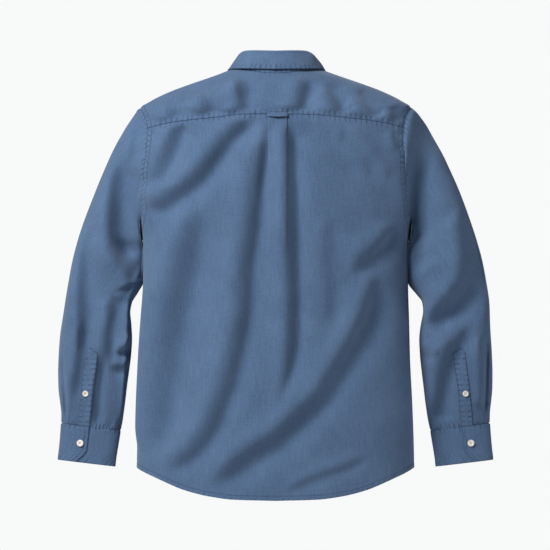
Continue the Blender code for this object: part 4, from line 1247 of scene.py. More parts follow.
def sleeve_sheet(side):
    """All rings of a sleeve from the armhole seam to the cuff, as points of the left sleeve."""
    ring, out, inward, tip = arm_ring(side)
    clock, walked = ring_clock(ring, tip)
    steps = np.linspace(0, SLEEVE_STEPS, SLEEVE_STEPS * RINGS_PER_STEP + 1)
    rings = np.array([sleeve_section(at, clock, ring if at < SECTION_PLAIN else None) for at in steps])
    rings[0] = ring
    level = rings[..., 2]
    pressed = ARMPIT_PRESS * np.exp(-(((level - ARMPIT) / ARMPIT_REACH) ** 2))
    clear = 0.7 * ease(steps, 0, 2)[:, None] + 0.2 - pressed
    # The outer edge of the left sleeve lies nearer in than the plain form's, and the right one's further out.
    if side > 0:
        swing = -(SWING_IN + SWING_IN_HEAD * ease(level, -130, -90)) * ease(-level, 60, 72)
    else:
        swing = SWING_OUT * ease(-level, 100, 160)
    swing = swing * ease(level, -480, -400) * ease(steps, 0, 1)[:, None]
    rings[..., 0] += swing * ease(rings[..., 0], 234, 262)
    # Below the armpit the sleeve lies beside the body, not in it.
    held = level < ARMPIT + 6
    least = body_x(rings[..., 1], level) + clear
    rings[1:, :, 0] = np.where(held[1:], np.maximum(rings[1:, :, 0], least[1:]), rings[1:, :, 0])
    normals = grid_normals(rings, True)
    rings = rings + sleeve_relief(rings, side, steps, normals)
    down = down_columns(rings)
    left = down[-1:] - down
    around = walked[None] + 0 * down
    # The seam's own layers lift the head of the sleeve beside the shoulder tip.
    height = 0.45 * gathers(around, down, *HEAD_PUCKERS) * ease(down, 0, 4)
    height = height + 0.7 * np.exp(-((down / 9) ** 2)) * ease(rings[..., 2], -84, -64)
    near_cuff = gathers(around, left, *CUFF_BROAD) * 1.1 + gathers(around + 9, left, *CUFF_NARROW) * 0.6
    height = height + near_cuff * ease(left, 0, 3)
    points = rings + normals * height[..., None]
    # Near the cuff the distance starts at 1.2 mm, so the painted shade in the groove there is weaker.
    seam = seam_map(around, np.minimum(down, left + 1.2))
    points = tucked(points, normals[-1], 3.5, 0.6)
    # The sleeve's own edge lies turned in under the body's.
    start = [ring + inward * run - out * depth for run, depth in ((4.0, 1.5), (1.0, 1.3), (-0.2, 0.2))]
    points = np.concatenate([np.array(start), points[1:]])
    seam = np.concatenate([np.repeat(seam[:1], 3, axis=0), seam[1:], np.repeat(seam[-1:], 2, axis=0)])
    return points, seam


def strip_sheet(side):
    """The placket strip on a sleeve, made from the sleeve's own points moved out, with a pointed top."""
    steps = np.linspace(STRIP_TOP - 0.3, SLEEVE_STEPS, 70)
    pad = (STRIP_FAR - STRIP_OPEN) / (STRIP_POINTS - 1)
    clock = np.linspace(STRIP_OPEN - pad, STRIP_FAR + pad, STRIP_POINTS + 2)
    rings = np.array([sleeve_section(at, clock, None) for at in steps])
    normals = grid_normals(rings, False)
    rings = rings + sleeve_relief(rings, side, steps, normals)
    across = np.linspace(0, 1, STRIP_POINTS)
    edge = STRIP_WIDE * np.minimum(across, 1 - across)
    lift = STRIP_LIFT - 0.35 * (1 - ease(edge, 0, 1.6))
    out = normals[:, 1:-1]
    points = rings[:, 1:-1] + out * lift[None, :, None]
    tops = np.interp(across, [0, 0.5, 1], STRIP_TOPS)
    grid = np.zeros((STRIP_ROWS, STRIP_POINTS, 3))
    facing = np.zeros(grid.shape)
    for c, top in enumerate(tops):
        z = points[:, c, 2]
        wanted = -np.linspace(top, z[-1], STRIP_ROWS)
        grid[:, c] = at_places(wanted, -z, points[:, c])
        facing[:, c] = at_places(wanted, -z, out[:, c])
    top_edge = tops[None] - grid[..., 2]
    grid = grid - facing * (0.5 * (1 - ease(top_edge, 0, 1.6)))[..., None]
    seam = seam_map(grid[..., 2], np.minimum(edge[None], top_edge))
    return tucked(grid, facing[-1], 3.0, 2.3), same_last(seam, 2), facing


def cuff_point(angle, down, lift):
    """Points of the left cuff: angle from its outer side over the back, and distance down from its top."""
    axis = np.array([math.sin(CUFF_TILT), 0, -math.cos(CUFF_TILT)])
    across = np.array([math.cos(CUFF_TILT), 0, math.sin(CUFF_TILT)])
    half = CUFF_HALF - CUFF_TAPER * down / CUFF_TALL + lift
    x = half * power(np.cos(angle), 2 / CUFF_SQUARE)
    point = np.array(CUFF_TOP) + x[:, None] * across + np.atleast_1d(down)[:, None] * axis
    point[:, 1] += (CUFF_DEPTH + lift) * power(np.sin(angle), 2 / CUFF_SQUARE)
    return point


def cuff_turn(x):
    """The angle at which the cuff's back lies a distance x out from its middle."""
    return math.acos((x / (CUFF_HALF - CUFF_TAPER / 2)) ** (CUFF_SQUARE / 2))


def cuff_sheet():
    """A band wound once round and a little more; its free edge lies on the back, its lower corner cut off."""
    downs = np.concatenate([[0, 0.5, 1.2], np.linspace(2.8, 63, 30), [64.8, 65.6, 66]])
    rows = []
    seams = []
    for down in downs:
        back = float(smooth(CUFF_CORNER, "down", "back", down))
        start = cuff_turn(CUFF_EDGE_X + back)
        first = start - np.array([0, 0.012, 0.028, 0.05, 0.08])
        rest = np.linspace(first[-1], -math.pi, 104)[1:]
        under_turn = np.linspace(-math.pi, -1.5 * math.pi - 0.7, 48)[1:]
        turn = np.concatenate([first, rest, under_turn])
        under = ease(-turn, 1.22 * math.pi, 1.42 * math.pi)
        lift = CUFF_PROUD - 2.2 * under
        plain = cuff_point(turn, down, lift)
        walked = walked_along(plain)
        edge = np.minimum(np.minimum(down, CUFF_TALL - down), walked * 0.92)
        uneven = 0.35 * np.sin(walked / 21 + down / 30) + 0.22 * np.sin(walked / 9.1 - down / 17)
        lift = lift + uneven * ease(edge, 0, 7) * (1 - under) - 0.4 * (1 - ease(edge, 0, 1.6))
        rows.append(cuff_point(turn, down, lift))
        # These distances set where the material paints shade beside the cuff's edges: weaker along its top,
        # reaching further in at its free edge.
        near = np.minimum(np.minimum(down + 0.7, CUFF_TALL - down), walked * 0.6)
        seams.append(seam_map(walked, near))
    return np.array(rows), np.array(seams)


def loop_sheet():
    """A short strap sewn across the yoke seam, held at both ends and free between them, over the pleat."""
    across = np.linspace(0, 1, 37)
    rows = []
    for down in np.linspace(0, 1, 12):
        left = 15.4 - 1.6 * down
        right = -23.6 + 1.2 * down
        x = right + (left - right) * across
        free = np.sin(math.pi * across) ** 0.6
        z = -73.2 - (4.8 + 2.8 * free) * down
        held = ease(across, 0, 0.1) * ease(1 - across, 0, 0.1)
        lift = 1.1 + 2.9 * free * down * held + 0.5 * free
        lift = lift + (PLEAT_HEIGHT - pleat_height(x, z)) * held
        points, _ = body_surface(around_for_x(x, z), z, lift)
        rows.append(points)
    return np.array(rows)


def capsules(name, runs):
    """All the stitches of several seams as one mesh: each a short rounded bar that dips in at both ends."""
    long = settings().stitch_long / MM
    pitch = long + settings().stitch_gap / MM
    thick = settings().thread_thick / MM
    template = [(-0.5, 0, -0.6), (0.5, 0, -0.6)]
    for end in (-0.33, 0.33):
        template += [(end, 1, 0), (end, 0, 1), (end, -1, 0), (end, 0, -1)]
    template = np.array(template) * (long, thick, thick)
    faces = []
    for i in range(4):
        j = (i + 1) % 4
        faces += [(0, 2 + j, 2 + i), (1, 6 + i, 6 + j)]
        faces += [(2 + i, 2 + j, 6 + j), (2 + i, 6 + j, 6 + i)]
    faces = np.array(faces)
    all_points = []
    for points, normals in runs:
        walked = walked_along(points)
        middle = (np.arange(int((walked[-1] - long) // pitch) + 1) + 0.5) * pitch
        shifts = (-long / 2, 0.0, long / 2)
        start, centre, end = (at_places(middle + shift, walked, points) for shift in shifts)
        out = unit(at_places(middle, walked, normals))
        along = unit(end - start)
        ways = np.stack([along, np.cross(out, along), out], axis=1)
        made = (centre + out * thick * 0.45)[:, None] + template @ ways
        all_points.append(made.reshape(-1, 3))
    all_points = np.concatenate(all_points)
    firsts = np.arange(0, len(all_points), len(template))
    all_faces = (faces[None] + firsts[:, None, None]).reshape(-1, 3)
    mesh = bpy.data.meshes.new(name)
    mesh.from_pydata((all_points * MM).tolist(), [], all_faces.tolist())
    mesh.shade_smooth()
    obj = bpy.data.objects.new(name, mesh)
    bpy.context.scene.collection.objects.link(obj)
    finished(obj, shared("cotton_wrapped_thread", sewing_thread), [])


def body_run(s, z, lift=0.0, below_yoke=True):
    """A line for stitches on the body, and the body's normals along it."""
    points, _ = body_surface(s, z, lift, below_yoke)
    return points, plain_normal(s, z)


def armhole_run(inside, side):
    """A line on the body beside the armhole seam, a given distance from it, all the way round."""
    turns = np.linspace(0, 180, 150)
    s, z = armhole_round(turns, turns[-2::-1])
    ring = torso_point(s, z)
    inward = inward_way(ring, plain_normal(s, z), unit(np.gradient(ring, axis=0)))
    # In three rounds each point moves over the plain form to that distance from the seam.
    for _ in range(3):
        by_s = torso_point(s + 0.5, z) - torso_point(s - 0.5, z)
        by_z = torso_point(s, z + 0.5) - torso_point(s, z - 0.5)
        gap = ring + inward * inside - torso_point(s, z)
        a = np.sum(by_s * by_s, axis=1)
        b = np.sum(by_s * by_z, axis=1)
        c = np.sum(by_z * by_z, axis=1)
        p = np.sum(gap * by_s, axis=1)
        q = np.sum(gap * by_z, axis=1)
        spread = np.maximum(a * c - b * b, 1e-6)
        s = s + np.clip((c * p - b * q) / spread, -6, 6)
        z = z + np.clip((a * q - b * p) / spread, -6, 6)
    above = z > smooth(YOKE_SEAM, "x", "z", np.abs(torso_point(s, z)[:, 0]))
    return body_run(s * side, z, np.where(above & (s < QUARTER), YOKE_LIFT, 0.0))


def grid_row(grid, outs, at):
    """A row of a grid and its normals, at a place that may lie between two rows."""
    i = int(at)
    share = at - i
    return grid[i] * (1 - share) + grid[i + 1] * share, outs[i] * (1 - share) + outs[i + 1] * share


def grid_column(grid, outs, at):
    """A column of a grid and its normals, at a place that may lie between two columns."""
    return grid_row(grid.swapaxes(0, 1), outs.swapaxes(0, 1), at)


def collar_runs(stand, stand_turn, leaf):
    """Rows of stitches on the leaf, at two distances from its edge, and on the stand's foot."""
    out = grid_normals(leaf, False)
    depths = down_columns(leaf[::-1])[::-1]
    rows = len(leaf)
    runs = []
    for inside in LEAF_STITCHES:
        line = []
        facing = []
        for c in range(3, leaf.shape[1] - 3):
            row = np.interp(-inside, -depths[:, c], np.arange(rows))
            point, normal = grid_row(leaf, out, min(row, rows - 1.001))
            line.append(point[c])
            facing.append(normal[c])
        runs.append((np.array(line), np.array(facing)))
    stand_out = outward_at(stand_turn)[None] + 0 * stand
    point, normal = grid_row(stand, stand_out, 0.5)
    shown = np.abs(stand_turn) < 150
    runs.append((point[shown], normal[shown]))
    return runs


def on_side(runs, side):
    """Runs of the left side as they lie on a side."""
    if side > 0:
        return runs
    mirror = np.array([-1.0, 1.0, 1.0])
    return [((points * mirror)[::-1], (out * mirror)[::-1]) for points, out in runs]


def cuff_line(turn, down):
    """A line for stitches on the cuff, and the ways out of the cloth along it."""
    points = cuff_point(turn, down, CUFF_PROUD + 0.25)
    return points, points - cuff_point(turn, down, CUFF_PROUD - 0.75)


def cuff_runs(side):
    """Two rows along the cuff's top and one inside its other edges."""
    turn = np.linspace(cuff_turn(CUFF_EDGE_X) - 0.25, -math.pi - 0.6, 200)
    bottom = CUFF_TALL - CUFF_STITCHES[1]
    runs = [cuff_line(turn, down) for down in CUFF_STITCHES]
    runs.append(cuff_line(turn[26:], bottom))
    downs = np.linspace(CUFF_STITCHES[1], bottom, 60)
    backs = smooth(CUFF_CORNER, "down", "back", downs)
    edge = np.array([cuff_turn(CUFF_EDGE_X + back) - 0.155 for back in backs])
    runs.append(cuff_line(edge, downs))
    return on_side(runs, side)


def strip_runs(grid, facing, side):
    """Stitches inside the long edges of the sleeve's placket, up to its point, and the boxed end."""
    grid = grid[:-2]
    runs = [grid_column(grid[3:], facing[3:], column) for column in (1.2, STRIP_POINTS - 2.2)]
    box = int(np.argmin(np.abs(grid[:, STRIP_POINTS // 2, 2] - STRIP_BOX)))
    runs.append((grid[box, 1:-1], facing[box, 1:-1]))
    points, out = grid_row(grid, facing, 1.6)
    runs.append((points[1:-1], out[1:-1]))
    return on_side(runs, side)


def body_runs():
    """The rows of stitches on the yoke, the back's hem and beside the side seams."""
    x = np.linspace(-222, 222, 240)
    z = smooth(YOKE_SEAM, "x", "z", np.abs(x)) + 1.7
    runs = [body_run(around_for_x(x, z), z, YOKE_LIFT, below_yoke=False)]
    x = np.linspace(-246, 246, 300)
    z = smooth(BACK_HEM, "x", "z", np.abs(x)) + HEM_WIDE
    runs.append(body_run(around_for_x(x, z), z, 0.1))
    z = np.linspace(ARMPIT - 14, -700, 240)
    s = np.full(z.shape, QUARTER - 5.0)
    for side in (1, -1):
        runs.append(body_run(s * side, z, 0.05))
    return runs


def front_runs():
    """The rows of stitches on the two fronts: both edges of the button strip and the hem."""
    points, _, out = placket_sheet()
    runs = [grid_column(points, out, share * STRIP_COLUMNS) for share in (0.16, 0.84)]
    for side in (1, -1):
        hem = front_domain(side)[0, 3 : -STRIP_COLUMNS - 2]
        runs.append(body_run(hem[:, 0], hem[:, 1] + HEM_WIDE, 0.1))
    return runs


def button_places():
    """Where each button is sewn: its name, place and normal, by the button's size."""
    heights = np.array(FRONT_BUTTONS, float)
    s = np.full(heights.shape, 2 * QUARTER)
    points, _ = body_surface(s, heights, PLACKET_LIFT + 0.15)
    normals = plain_normal(s, heights)
    shirt = [(f"front_button_{i + 1}", points[i], normals[i]) for i in range(len(heights))]
    collar = stand_row(np.array([180.0]), 0.5, np.array([0.9]))[0] + np.array([0.0, -0.15, 0.0])
    shirt.append(("collar_button", collar, np.array([0.0, -1.0, 0.12])))
    sleeves = []
    cuffs = []
    turn = cuff_turn(CUFF_BUTTON_X)
    lift = CUFF_PROUD + 0.45
    place = cuff_point(np.array([turn]), CUFF_BUTTON_DOWN, lift)[0]
    outer, inner = cuff_point(np.array([turn - 0.05, turn + 0.05]), CUFF_BUTTON_DOWN, lift)
    below = cuff_point(np.array([turn]), CUFF_BUTTON_DOWN + 5, lift)[0]
    normal = unit(np.cross(outer - inner, below - place))
    for side, name in SIDES:
        mirror = np.array([side, 1, 1])
        cuffs.append((f"cuff_button_{name}", place * mirror, normal * mirror))
        grid, _, facing = strip_sheet(side)
        row = int(np.argmin(np.abs(grid[:-2, 7, 2] - SLEEVE_BUTTON_Z)))
        at = grid[row, 7]
        out = unit(facing[row - 4 : row + 5, 3:12].mean(axis=(0, 1)))
        sleeves.append((f"sleeve_button_{name}", (at + out * 0.25) * mirror, out * mirror))
    return {SHIRT_BUTTON: shirt, CUFF_BUTTON: cuffs, SLEEVE_BUTTON: sleeves}


def shifted(x, y, z):
    """The object just made, with its mesh moved against its origin."""
    bpy.ops.object.mode_set(mode="EDIT")
    bpy.ops.transform.translate(value=(x * MM, y * MM, z * MM))
    bpy.ops.object.mode_set(mode="OBJECT")
    return bpy.context.object


def button_model(diameter):
    """A round four-hole button with a raised rim and a dished middle, its underside on the origin."""
    radius = diameter / 2
    bpy.ops.mesh.primitive_cylinder_add(vertices=64, radius=radius * MM, depth=BUTTON_THICK * MM)
    body = shifted(0, 0, BUTTON_THICK / 2)
    dish_radius = radius * 2.6
    rise = math.sqrt(dish_radius**2 - (radius * 0.72) ** 2)
    bpy.ops.mesh.primitive_uv_sphere_add(segments=64, ring_count=48, radius=dish_radius * MM)
    cutters = [shifted(0, 0, BUTTON_THICK + rise)]
    apart = diameter * BUTTON_HOLES_APART
    for i in range(4):
        turn = math.pi / 4 + i * math.pi / 2
        deep = BUTTON_THICK * 4 * MM
        bpy.ops.mesh.primitive_cylinder_add(vertices=20, radius=BUTTON_HOLE * MM, depth=deep)
        cutters.append(shifted(apart * math.cos(turn), apart * math.sin(turn), 0))
    for cutter in cutters:
        modified(body, "BOOLEAN", operation="DIFFERENCE", solver="EXACT", object=cutter)
        bpy.data.objects.remove(cutter)
    sharp = math.radians(38)
    modified(body, "BEVEL", width=0.32 * MM, segments=3, limit_method="ANGLE", angle_limit=sharp)
    bpy.ops.object.shade_smooth_by_angle(angle=math.radians(35))
    return body


def thread_model(diameter):
    """The crossed thread that shows in a button's holes: four short bars between the holes."""
    apart = diameter * BUTTON_HOLES_APART
    made = []
    for turn in (math.pi / 4, 3 * math.pi / 4):
        for aside in (-0.16, 0.16):
            bpy.ops.mesh.primitive_cylinder_add(vertices=10, radius=0.2 * MM, depth=apart * 2.2 * MM)
            bar = bpy.context.object
            bpy.ops.object.mode_set(mode="EDIT")
            bpy.ops.transform.rotate(value=math.pi / 2, orient_axis="Y", center_override=(0, 0, 0))
            bpy.ops.transform.translate(value=(0, aside * MM, (BUTTON_THICK - BUTTON_DISH + 0.12) * MM))
            bpy.ops.transform.rotate(value=turn, orient_axis="Z", center_override=(0, 0, 0))
            bpy.ops.object.mode_set(mode="OBJECT")
            made.append(bar)
    first = made[0]
    only(first)
    for bar in made[1:]:
        bar.select_set(True)
    bpy.ops.object.join()
    bpy.ops.object.shade_smooth_by_angle(angle=math.radians(50))
    return first


def copied(model, name, place, normal):
    """A copy of a model with its own mesh, set on a place with its +Z along the normal."""
    obj = model.copy()
    obj.data = model.data.copy()
    obj.name = name
    bpy.context.scene.collection.objects.link(obj)
    z = unit(np.asarray(normal, float))
    x = unit(np.cross([0.0, 0.0, 1.0], z))
    y = np.cross(z, x)
    turn = Matrix((x.tolist(), y.tolist(), z.tolist())).transposed().to_4x4()
    obj.data.transform(Matrix.Translation(Vector((np.asarray(place) * MM).tolist())) @ turn)
    return obj


def fill(tree, node, values):
    """Sets a node's inputs, by name or number, or links them where the value is a node's output."""
    for name, value in values.items():
        socket = node.inputs[name]
        if isinstance(value, bpy.types.NodeSocket):
            tree.links.new(value, socket)
        else:
            socket.default_value = value


def add(tree, kind, values=None, out=0, **settings_of_node):
    """One of the outputs of a new node that has these settings and inputs."""
    node = tree.nodes.new(kind)
    for name, value in settings_of_node.items():
        setattr(node, name, value)
    fill(tree, node, values or {})
    return node.outputs[out]


def opaque(colour):
    """A linear colour, or an sRGB hex colour made linear, with full alpha."""
    if isinstance(colour, str):
        colour = linear(colour)
    return (*colour, 1.0)


def shared(name, build):
    """The material of a name, built when the first piece needs it."""
    made = bpy.data.materials.get(name)
    if made:
        return made
    material = bpy.data.materials.new(name)
    material.use_nodes = True
    tree = material.node_tree
    build(tree, tree.nodes["Principled BSDF"])
    return material


def stretched(tree, place, across, along, scale, detail=2.0, roughness=0.5):
    """Noise on the cloth's own millimetres, stretched along the yarns of one direction."""
    squeezed = {0: place, 1: (across, along, 1.0)}
    squeezed = add(tree, "ShaderNodeVectorMath", squeezed, operation="MULTIPLY")
    noise = {"Vector": squeezed, "Scale": scale, "Detail": detail, "Roughness": roughness}
    return add(tree, "ShaderNodeTexNoise", noise, out="Fac")


def chambray(tree, surface):
    """The shirt's cloth: plain weave, indigo-dyed warp and undyed weft, washed soft."""
    # The two yarns read as one grey blue with a fine fleck. Uneven ring-spun yarns give it slubs. Along seams
    # the puckers get painted shade in their troughs and paler crests, partly as washing pales the high spots.
    soft = {"interpolation_type": "SMOOTHSTEP", "out": "Result"}
    uv = add(tree, "ShaderNodeUVMap", uv_map="cloth")
    place = add(tree, "ShaderNodeVectorMath", {0: uv, "Scale": 1000.0}, operation="SCALE")
    # Real yarns lie 0.3 mm apart, too fine for a picture of a whole shirt: here they are drawn 1.3 mm apart.
    yarns = {"Vector": place, "Scale": WAVE_PER_MM / YARN_APART}
    yarns.update({"Distortion": 1.6, "Detail": 1.0, "Detail Scale": 0.6})
    warp = add(tree, "ShaderNodeTexWave", yarns, out="Fac", bands_direction="X")
    weft = add(tree, "ShaderNodeTexWave", yarns, out="Fac", bands_direction="Y")
    weave = add(tree, "ShaderNodeMath", {0: warp, 1: weft}, operation="MULTIPLY")
    slub_up = stretched(tree, place, 1.0, 0.07, 0.42, 2.0, 0.55)
    slub_across = stretched(tree, place, 0.07, 1.0, 0.5, 2.0, 0.55)
    fleck = stretched(tree, place, 1.0, 0.6, 0.55, 3.0, 0.62)
    hue = stretched(tree, place, 1.0, 0.5, 0.3)
    wash = stretched(tree, place, 1.0, 1.0, 0.012)
    tone = 0.21
    for noise, share in ((fleck, 0.24), (slub_up, 0.15), (slub_across, 0.06), (wash, 0.12)):
        even = add(tree, "ShaderNodeMapRange", {"Value": noise, "From Min": 0.3, "From Max": 0.7}, **soft)
        tone = add(tree, "ShaderNodeMath", {0: even, 1: share, 2: tone}, operation="MULTIPLY_ADD")
    # Puckers: where thread draws a seam in, short creases cross it about every 9 mm and fade away from it.
    seam = add(tree, "ShaderNodeAttribute", out="Vector", attribute_name="seam", attribute_type="GEOMETRY")
    along = add(tree, "ShaderNodeSeparateXYZ", {0: seam}, out="X")
    away = along.node.outputs["Y"]
    band = add(tree, "ShaderNodeMath", {0: along.node.outputs["Z"]}, operation="ABSOLUTE")
    wander = {"Vector": place, "Scale": 0.07, "Detail": 2.0, "Roughness": 0.6}
    wander = add(tree, "ShaderNodeTexNoise", wander, out="Fac")
    turn = add(tree, "ShaderNodeMath", {0: away, 1: 0.05}, operation="MULTIPLY")
    for place_on, share in ((along, 2 * math.pi / PUCKER_APART), (wander, 7.0)):
        turn = add(tree, "ShaderNodeMath", {0: place_on, 1: share, 2: turn}, operation="MULTIPLY_ADD")
    wave = add(tree, "ShaderNodeMath", {0: turn}, operation="SINE")
    patches = stretched(tree, place, 1.0, 1.0, 0.045, 1.0)
    pucker = 1.0
    for value, low, high, to_low, to_high in (
        (wave, -0.3, 1.0, 0.35, -1.0),
        (away, 5.0, PUCKER_REACH, 1.0, 0.0),
        (patches, 0.35, 0.65, 0.25, 1.0),
    ):
        reach = {"Value": value, "From Min": low, "From Max": high, "To Min": to_low, "To Max": to_high}
        part = add(tree, "ShaderNodeMapRange", reach, **soft)
        pucker = add(tree, "ShaderNodeMath", {0: part, 1: pucker}, operation="MULTIPLY")
    # Painted shade: the colour darkens in the groove at a seam and along the inner edge of a turned-in band.
    groove_shade = []
    for value, low, high in ((away, 0.3, 1.7), (band, 0.4, 1.6)):
        reach = {"Value": value, "From Min": low, "From Max": high, "To Min": 1.0, "To Max": 0.0}
        groove_shade.append(add(tree, "ShaderNodeMapRange", reach, **soft))
    # The puckers' tone follows their bump: painted shade in the troughs and lighter crests.
    for value, share in ((weave, 0.1), (pucker, 0.2), (groove_shade[0], -0.38), (groove_shade[1], -0.3)):
        tone = add(tree, "ShaderNodeMath", {0: value, 1: share, 2: tone}, operation="MULTIPLY_ADD")
    tone = add(tree, "ShaderNodeMath", {0: tone, 1: 0.0}, operation="MAXIMUM")
    yarn = {0: tone, 6: opaque(settings().yarn_dark), 7: opaque(settings().yarn_pale)}
    colour = add(tree, "ShaderNodeMix", yarn, out=2, data_type="RGBA")
    # The grey blue drifts a little between violet and teal.
    tints = {}
    for socket, tint in ((6, "#F6EEFF"), (7, "#EEFAF8")):
        tinted = {0: 1.0, 6: colour, 7: opaque(tint)}
        tints[socket] = add(tree, "ShaderNodeMix", tinted, out=2, data_type="RGBA", blend_type="MULTIPLY")
    drift = add(tree, "ShaderNodeMapRange", {"Value": hue, "From Min": 0.35, "From Max": 0.65}, **soft)
    colour = add(tree, "ShaderNodeMix", {0: drift, **tints}, out=2, data_type="RGBA")
    bump = add(tree, "ShaderNodeMath", {0: fleck, 1: 0.14}, operation="MULTIPLY")
    for value, share in ((weave, 0.05), (slub_up, 0.1), (pucker, 0.7)):
        bump = add(tree, "ShaderNodeMath", {0: value, 1: share, 2: bump}, operation="MULTIPLY_ADD")
    normal = add(tree, "ShaderNodeBump", {"Height": bump, "Distance": 0.001, "Strength": 1.0})
    fill(tree, surface, {"Base Color": colour, "Normal": normal})
    fill(tree, surface, {"Roughness": 0.92, "Specular IOR Level": 0.2})
    # Loose fibre ends stand off washed cotton and lift its brightness at grazing angles.
    fill(tree, surface, {"Sheen Weight": 0.25, "Sheen Roughness": 0.6, "Sheen Tint": opaque("#B9C6DA")})


def sewing_thread(tree, surface):
    """Cotton-wrapped polyester thread, two plies twisted: the glint of its turns is painted in as a fine
    slanting line.
    """
    place = add(tree, "ShaderNodeTexCoord", out="Object")
    plies = {"Vector": place, "Scale": WAVE_PER_MM / 0.6 * 1000.0, "Distortion": 0.4}
    twist = add(tree, "ShaderNodeTexWave", plies, out="Fac", bands_direction="DIAGONAL")
    uneven = add(tree, "ShaderNodeTexNoise", {"Vector": place, "Scale": 220.0, "Detail": 2.0}, out="Fac")
    share = add(tree, "ShaderNodeMath", {0: uneven, 1: 0.6}, operation="MULTIPLY")
    share = add(tree, "ShaderNodeMath", {0: twist, 1: 0.4, 2: share}, operation="MULTIPLY_ADD")
    # Painted light: a shaded and a lit copy of the thread's colour, mixed by the twist.
    deep = opaque([c * 0.72 for c in settings().thread_colour])
    lit = opaque([min(1.0, c * 1.25) for c in settings().thread_colour])
    colour = add(tree, "ShaderNodeMix", {0: share, 6: deep, 7: lit}, out=2, data_type="RGBA")
    normal = add(tree, "ShaderNodeBump", {"Height": twist, "Distance": 0.00006})
    fill(tree, surface, {"Base Color": colour, "Normal": normal, "Roughness": 0.7, "Sheen Weight": 0.2})


def button_thread(tree, surface):
    """Undyed glace cotton, waxed and polished: smoother than the seams' thread, with a low gloss."""
    fill(tree, surface, {"Base Color": opaque(settings().button_thread_colour), "Roughness": 0.6})


def button_resin(tree, surface):
    """Cast unsaturated polyester, turned and tumbled: a soft gloss, and pearl pigment in pale clouds."""
    place = add(tree, "ShaderNodeTexCoord", out="Object")
    clouds = {"Vector": place, "Scale": 150.0, "Detail": 3.0, "Distortion": 1.2}
    cloud = add(tree, "ShaderNodeTexNoise", clouds, out="Fac")
    base = settings().button_colour
    deep = opaque([c * share for c, share in zip(base, (0.78, 0.76, 0.72))])
    spread = {"Value": cloud, "From Min": 0.35, "From Max": 0.7}
    share = add(tree, "ShaderNodeMapRange", spread, out="Result", interpolation_type="SMOOTHSTEP")
    colour = add(tree, "ShaderNodeMix", {0: share, 6: opaque(base), 7: deep}, out=2, data_type="RGBA")
    scratch = {"Vector": place, "Scale": 1400.0, "Detail": 2.0}
    scratch = add(tree, "ShaderNodeTexNoise", scratch, out="Fac")
    normal = add(tree, "ShaderNodeBump", {"Height": scratch, "Distance": 0.00003})
    gloss = {"Value": cloud, "From Min": 0.2, "From Max": 0.8, "To Min": 0.26, "To Max": 0.4}
    rough = add(tree, "ShaderNodeMapRange", gloss, out="Result", interpolation_type="SMOOTHSTEP")
    fill(tree, surface, {"Base Color": colour, "Normal": normal, "Roughness": rough, "Coat Weight": 0.25})
    fill(tree, surface, {"Subsurface Weight": 0.06, "Subsurface Radius": (0.0009, 0.0008, 0.0006)})


def painted_board(tree, surface):
    """The studio floor under the shirt: matt paint, far enough below to stay out of the picture."""
    place = add(tree, "ShaderNodeTexCoord", out="Object")
    grain = add(tree, "ShaderNodeTexNoise", {"Vector": place, "Scale": 60.0, "Detail": 3.0}, out="Fac")
    paint = {0: grain, 6: opaque("#E6E6E6"), 7: opaque("#F0F0EF")}
    colour = add(tree, "ShaderNodeMix", paint, out=2, data_type="RGBA")
    fill(tree, surface, {"Base Color": colour, "Roughness": 0.8})


class SHIRT_OT_back(bpy.types.Operator):
    """Makes the back panel, with its box pleat and the folds of its hang"""

    bl_idname = "shirt.make_back"
    bl_label = "Back panel"

    def execute(self, context):
        grid, seam, middle = back_sheet()
        panel("back_panel", grid, seam, settings().cloth_thick, ["back"], flip=True, middle=middle)
        return {"FINISHED"}


class SHIRT_OT_yoke(bpy.types.Operator):
    """Makes the yoke over the shoulders"""

    bl_idname = "shirt.make_yoke"
    bl_label = "Yoke"

    def execute(self, context):
        grid, seam, middle = yoke_sheet()
        panel("yoke_panel", grid, seam, settings().cloth_thick, ["yoke"], flip=True, middle=middle)
        return {"FINISHED"}


class SHIRT_OT_fronts(bpy.types.Operator):
    """Makes both fronts and the button strip on the left one"""

    bl_idname = "shirt.make_fronts"
    bl_label = "Fronts"

    def execute(self, context):
        thick = settings().cloth_thick
        for side, name in SIDES:
            grid, seam = front_sheet(side)
            panel(f"front_{name}_panel", grid, seam, thick, [f"front_{name}"], flip=side > 0)
        grid, seam, _ = placket_sheet()
        panel("front_placket_strip", grid, seam, settings().band_thick, ["front_placket"], flip=True)
        return {"FINISHED"}


class SHIRT_OT_collar(bpy.types.Operator):
    """Makes the collar's stand and the leaf folded over it"""

    bl_idname = "shirt.make_collar"
    bl_label = "Collar"

    def execute(self, context):
        thick = settings().band_thick
        grid, seam, _ = stand_sheet()
        panel("collar_stand_band", grid, seam, thick, ["collar_stand"], flip=True)
        grid, seam = leaf_sheet()
        rows, columns = grid.shape[:2]
        panel("collar_leaf_fold", grid, seam, thick, ["collar_leaf"], middle=columns // 2, level=rows - 1)
        return {"FINISHED"}


class SHIRT_OT_sleeves(bpy.types.Operator):
    """Makes both sleeves and the placket strip on each"""

    bl_idname = "shirt.make_sleeves"
    bl_label = "Sleeves"

    def execute(self, context):
        for side, name in SIDES:
            grid, seam = sleeve_sheet(side)
            grid = grid * np.array([side, 1, 1])
            nodes = [f"sleeve_{name}"]
            middle = RING_ARM // 2
            level = 10 * RINGS_PER_STEP
            made = f"sleeve_{name}_tube"
            thick = settings().cloth_thick
            panel(made, grid, seam, thick, nodes, closed=True, flip=side < 0, middle=middle, level=level)
            strip, strip_seam, _ = strip_sheet(side)
            strip = strip * np.array([side, 1, 1])
            made = f"sleeve_placket_{name}_strip"
            nodes = [f"sleeve_placket_{name}"]
            panel(made, strip, strip_seam, settings().band_thick, nodes, flip=side < 0)
        return {"FINISHED"}


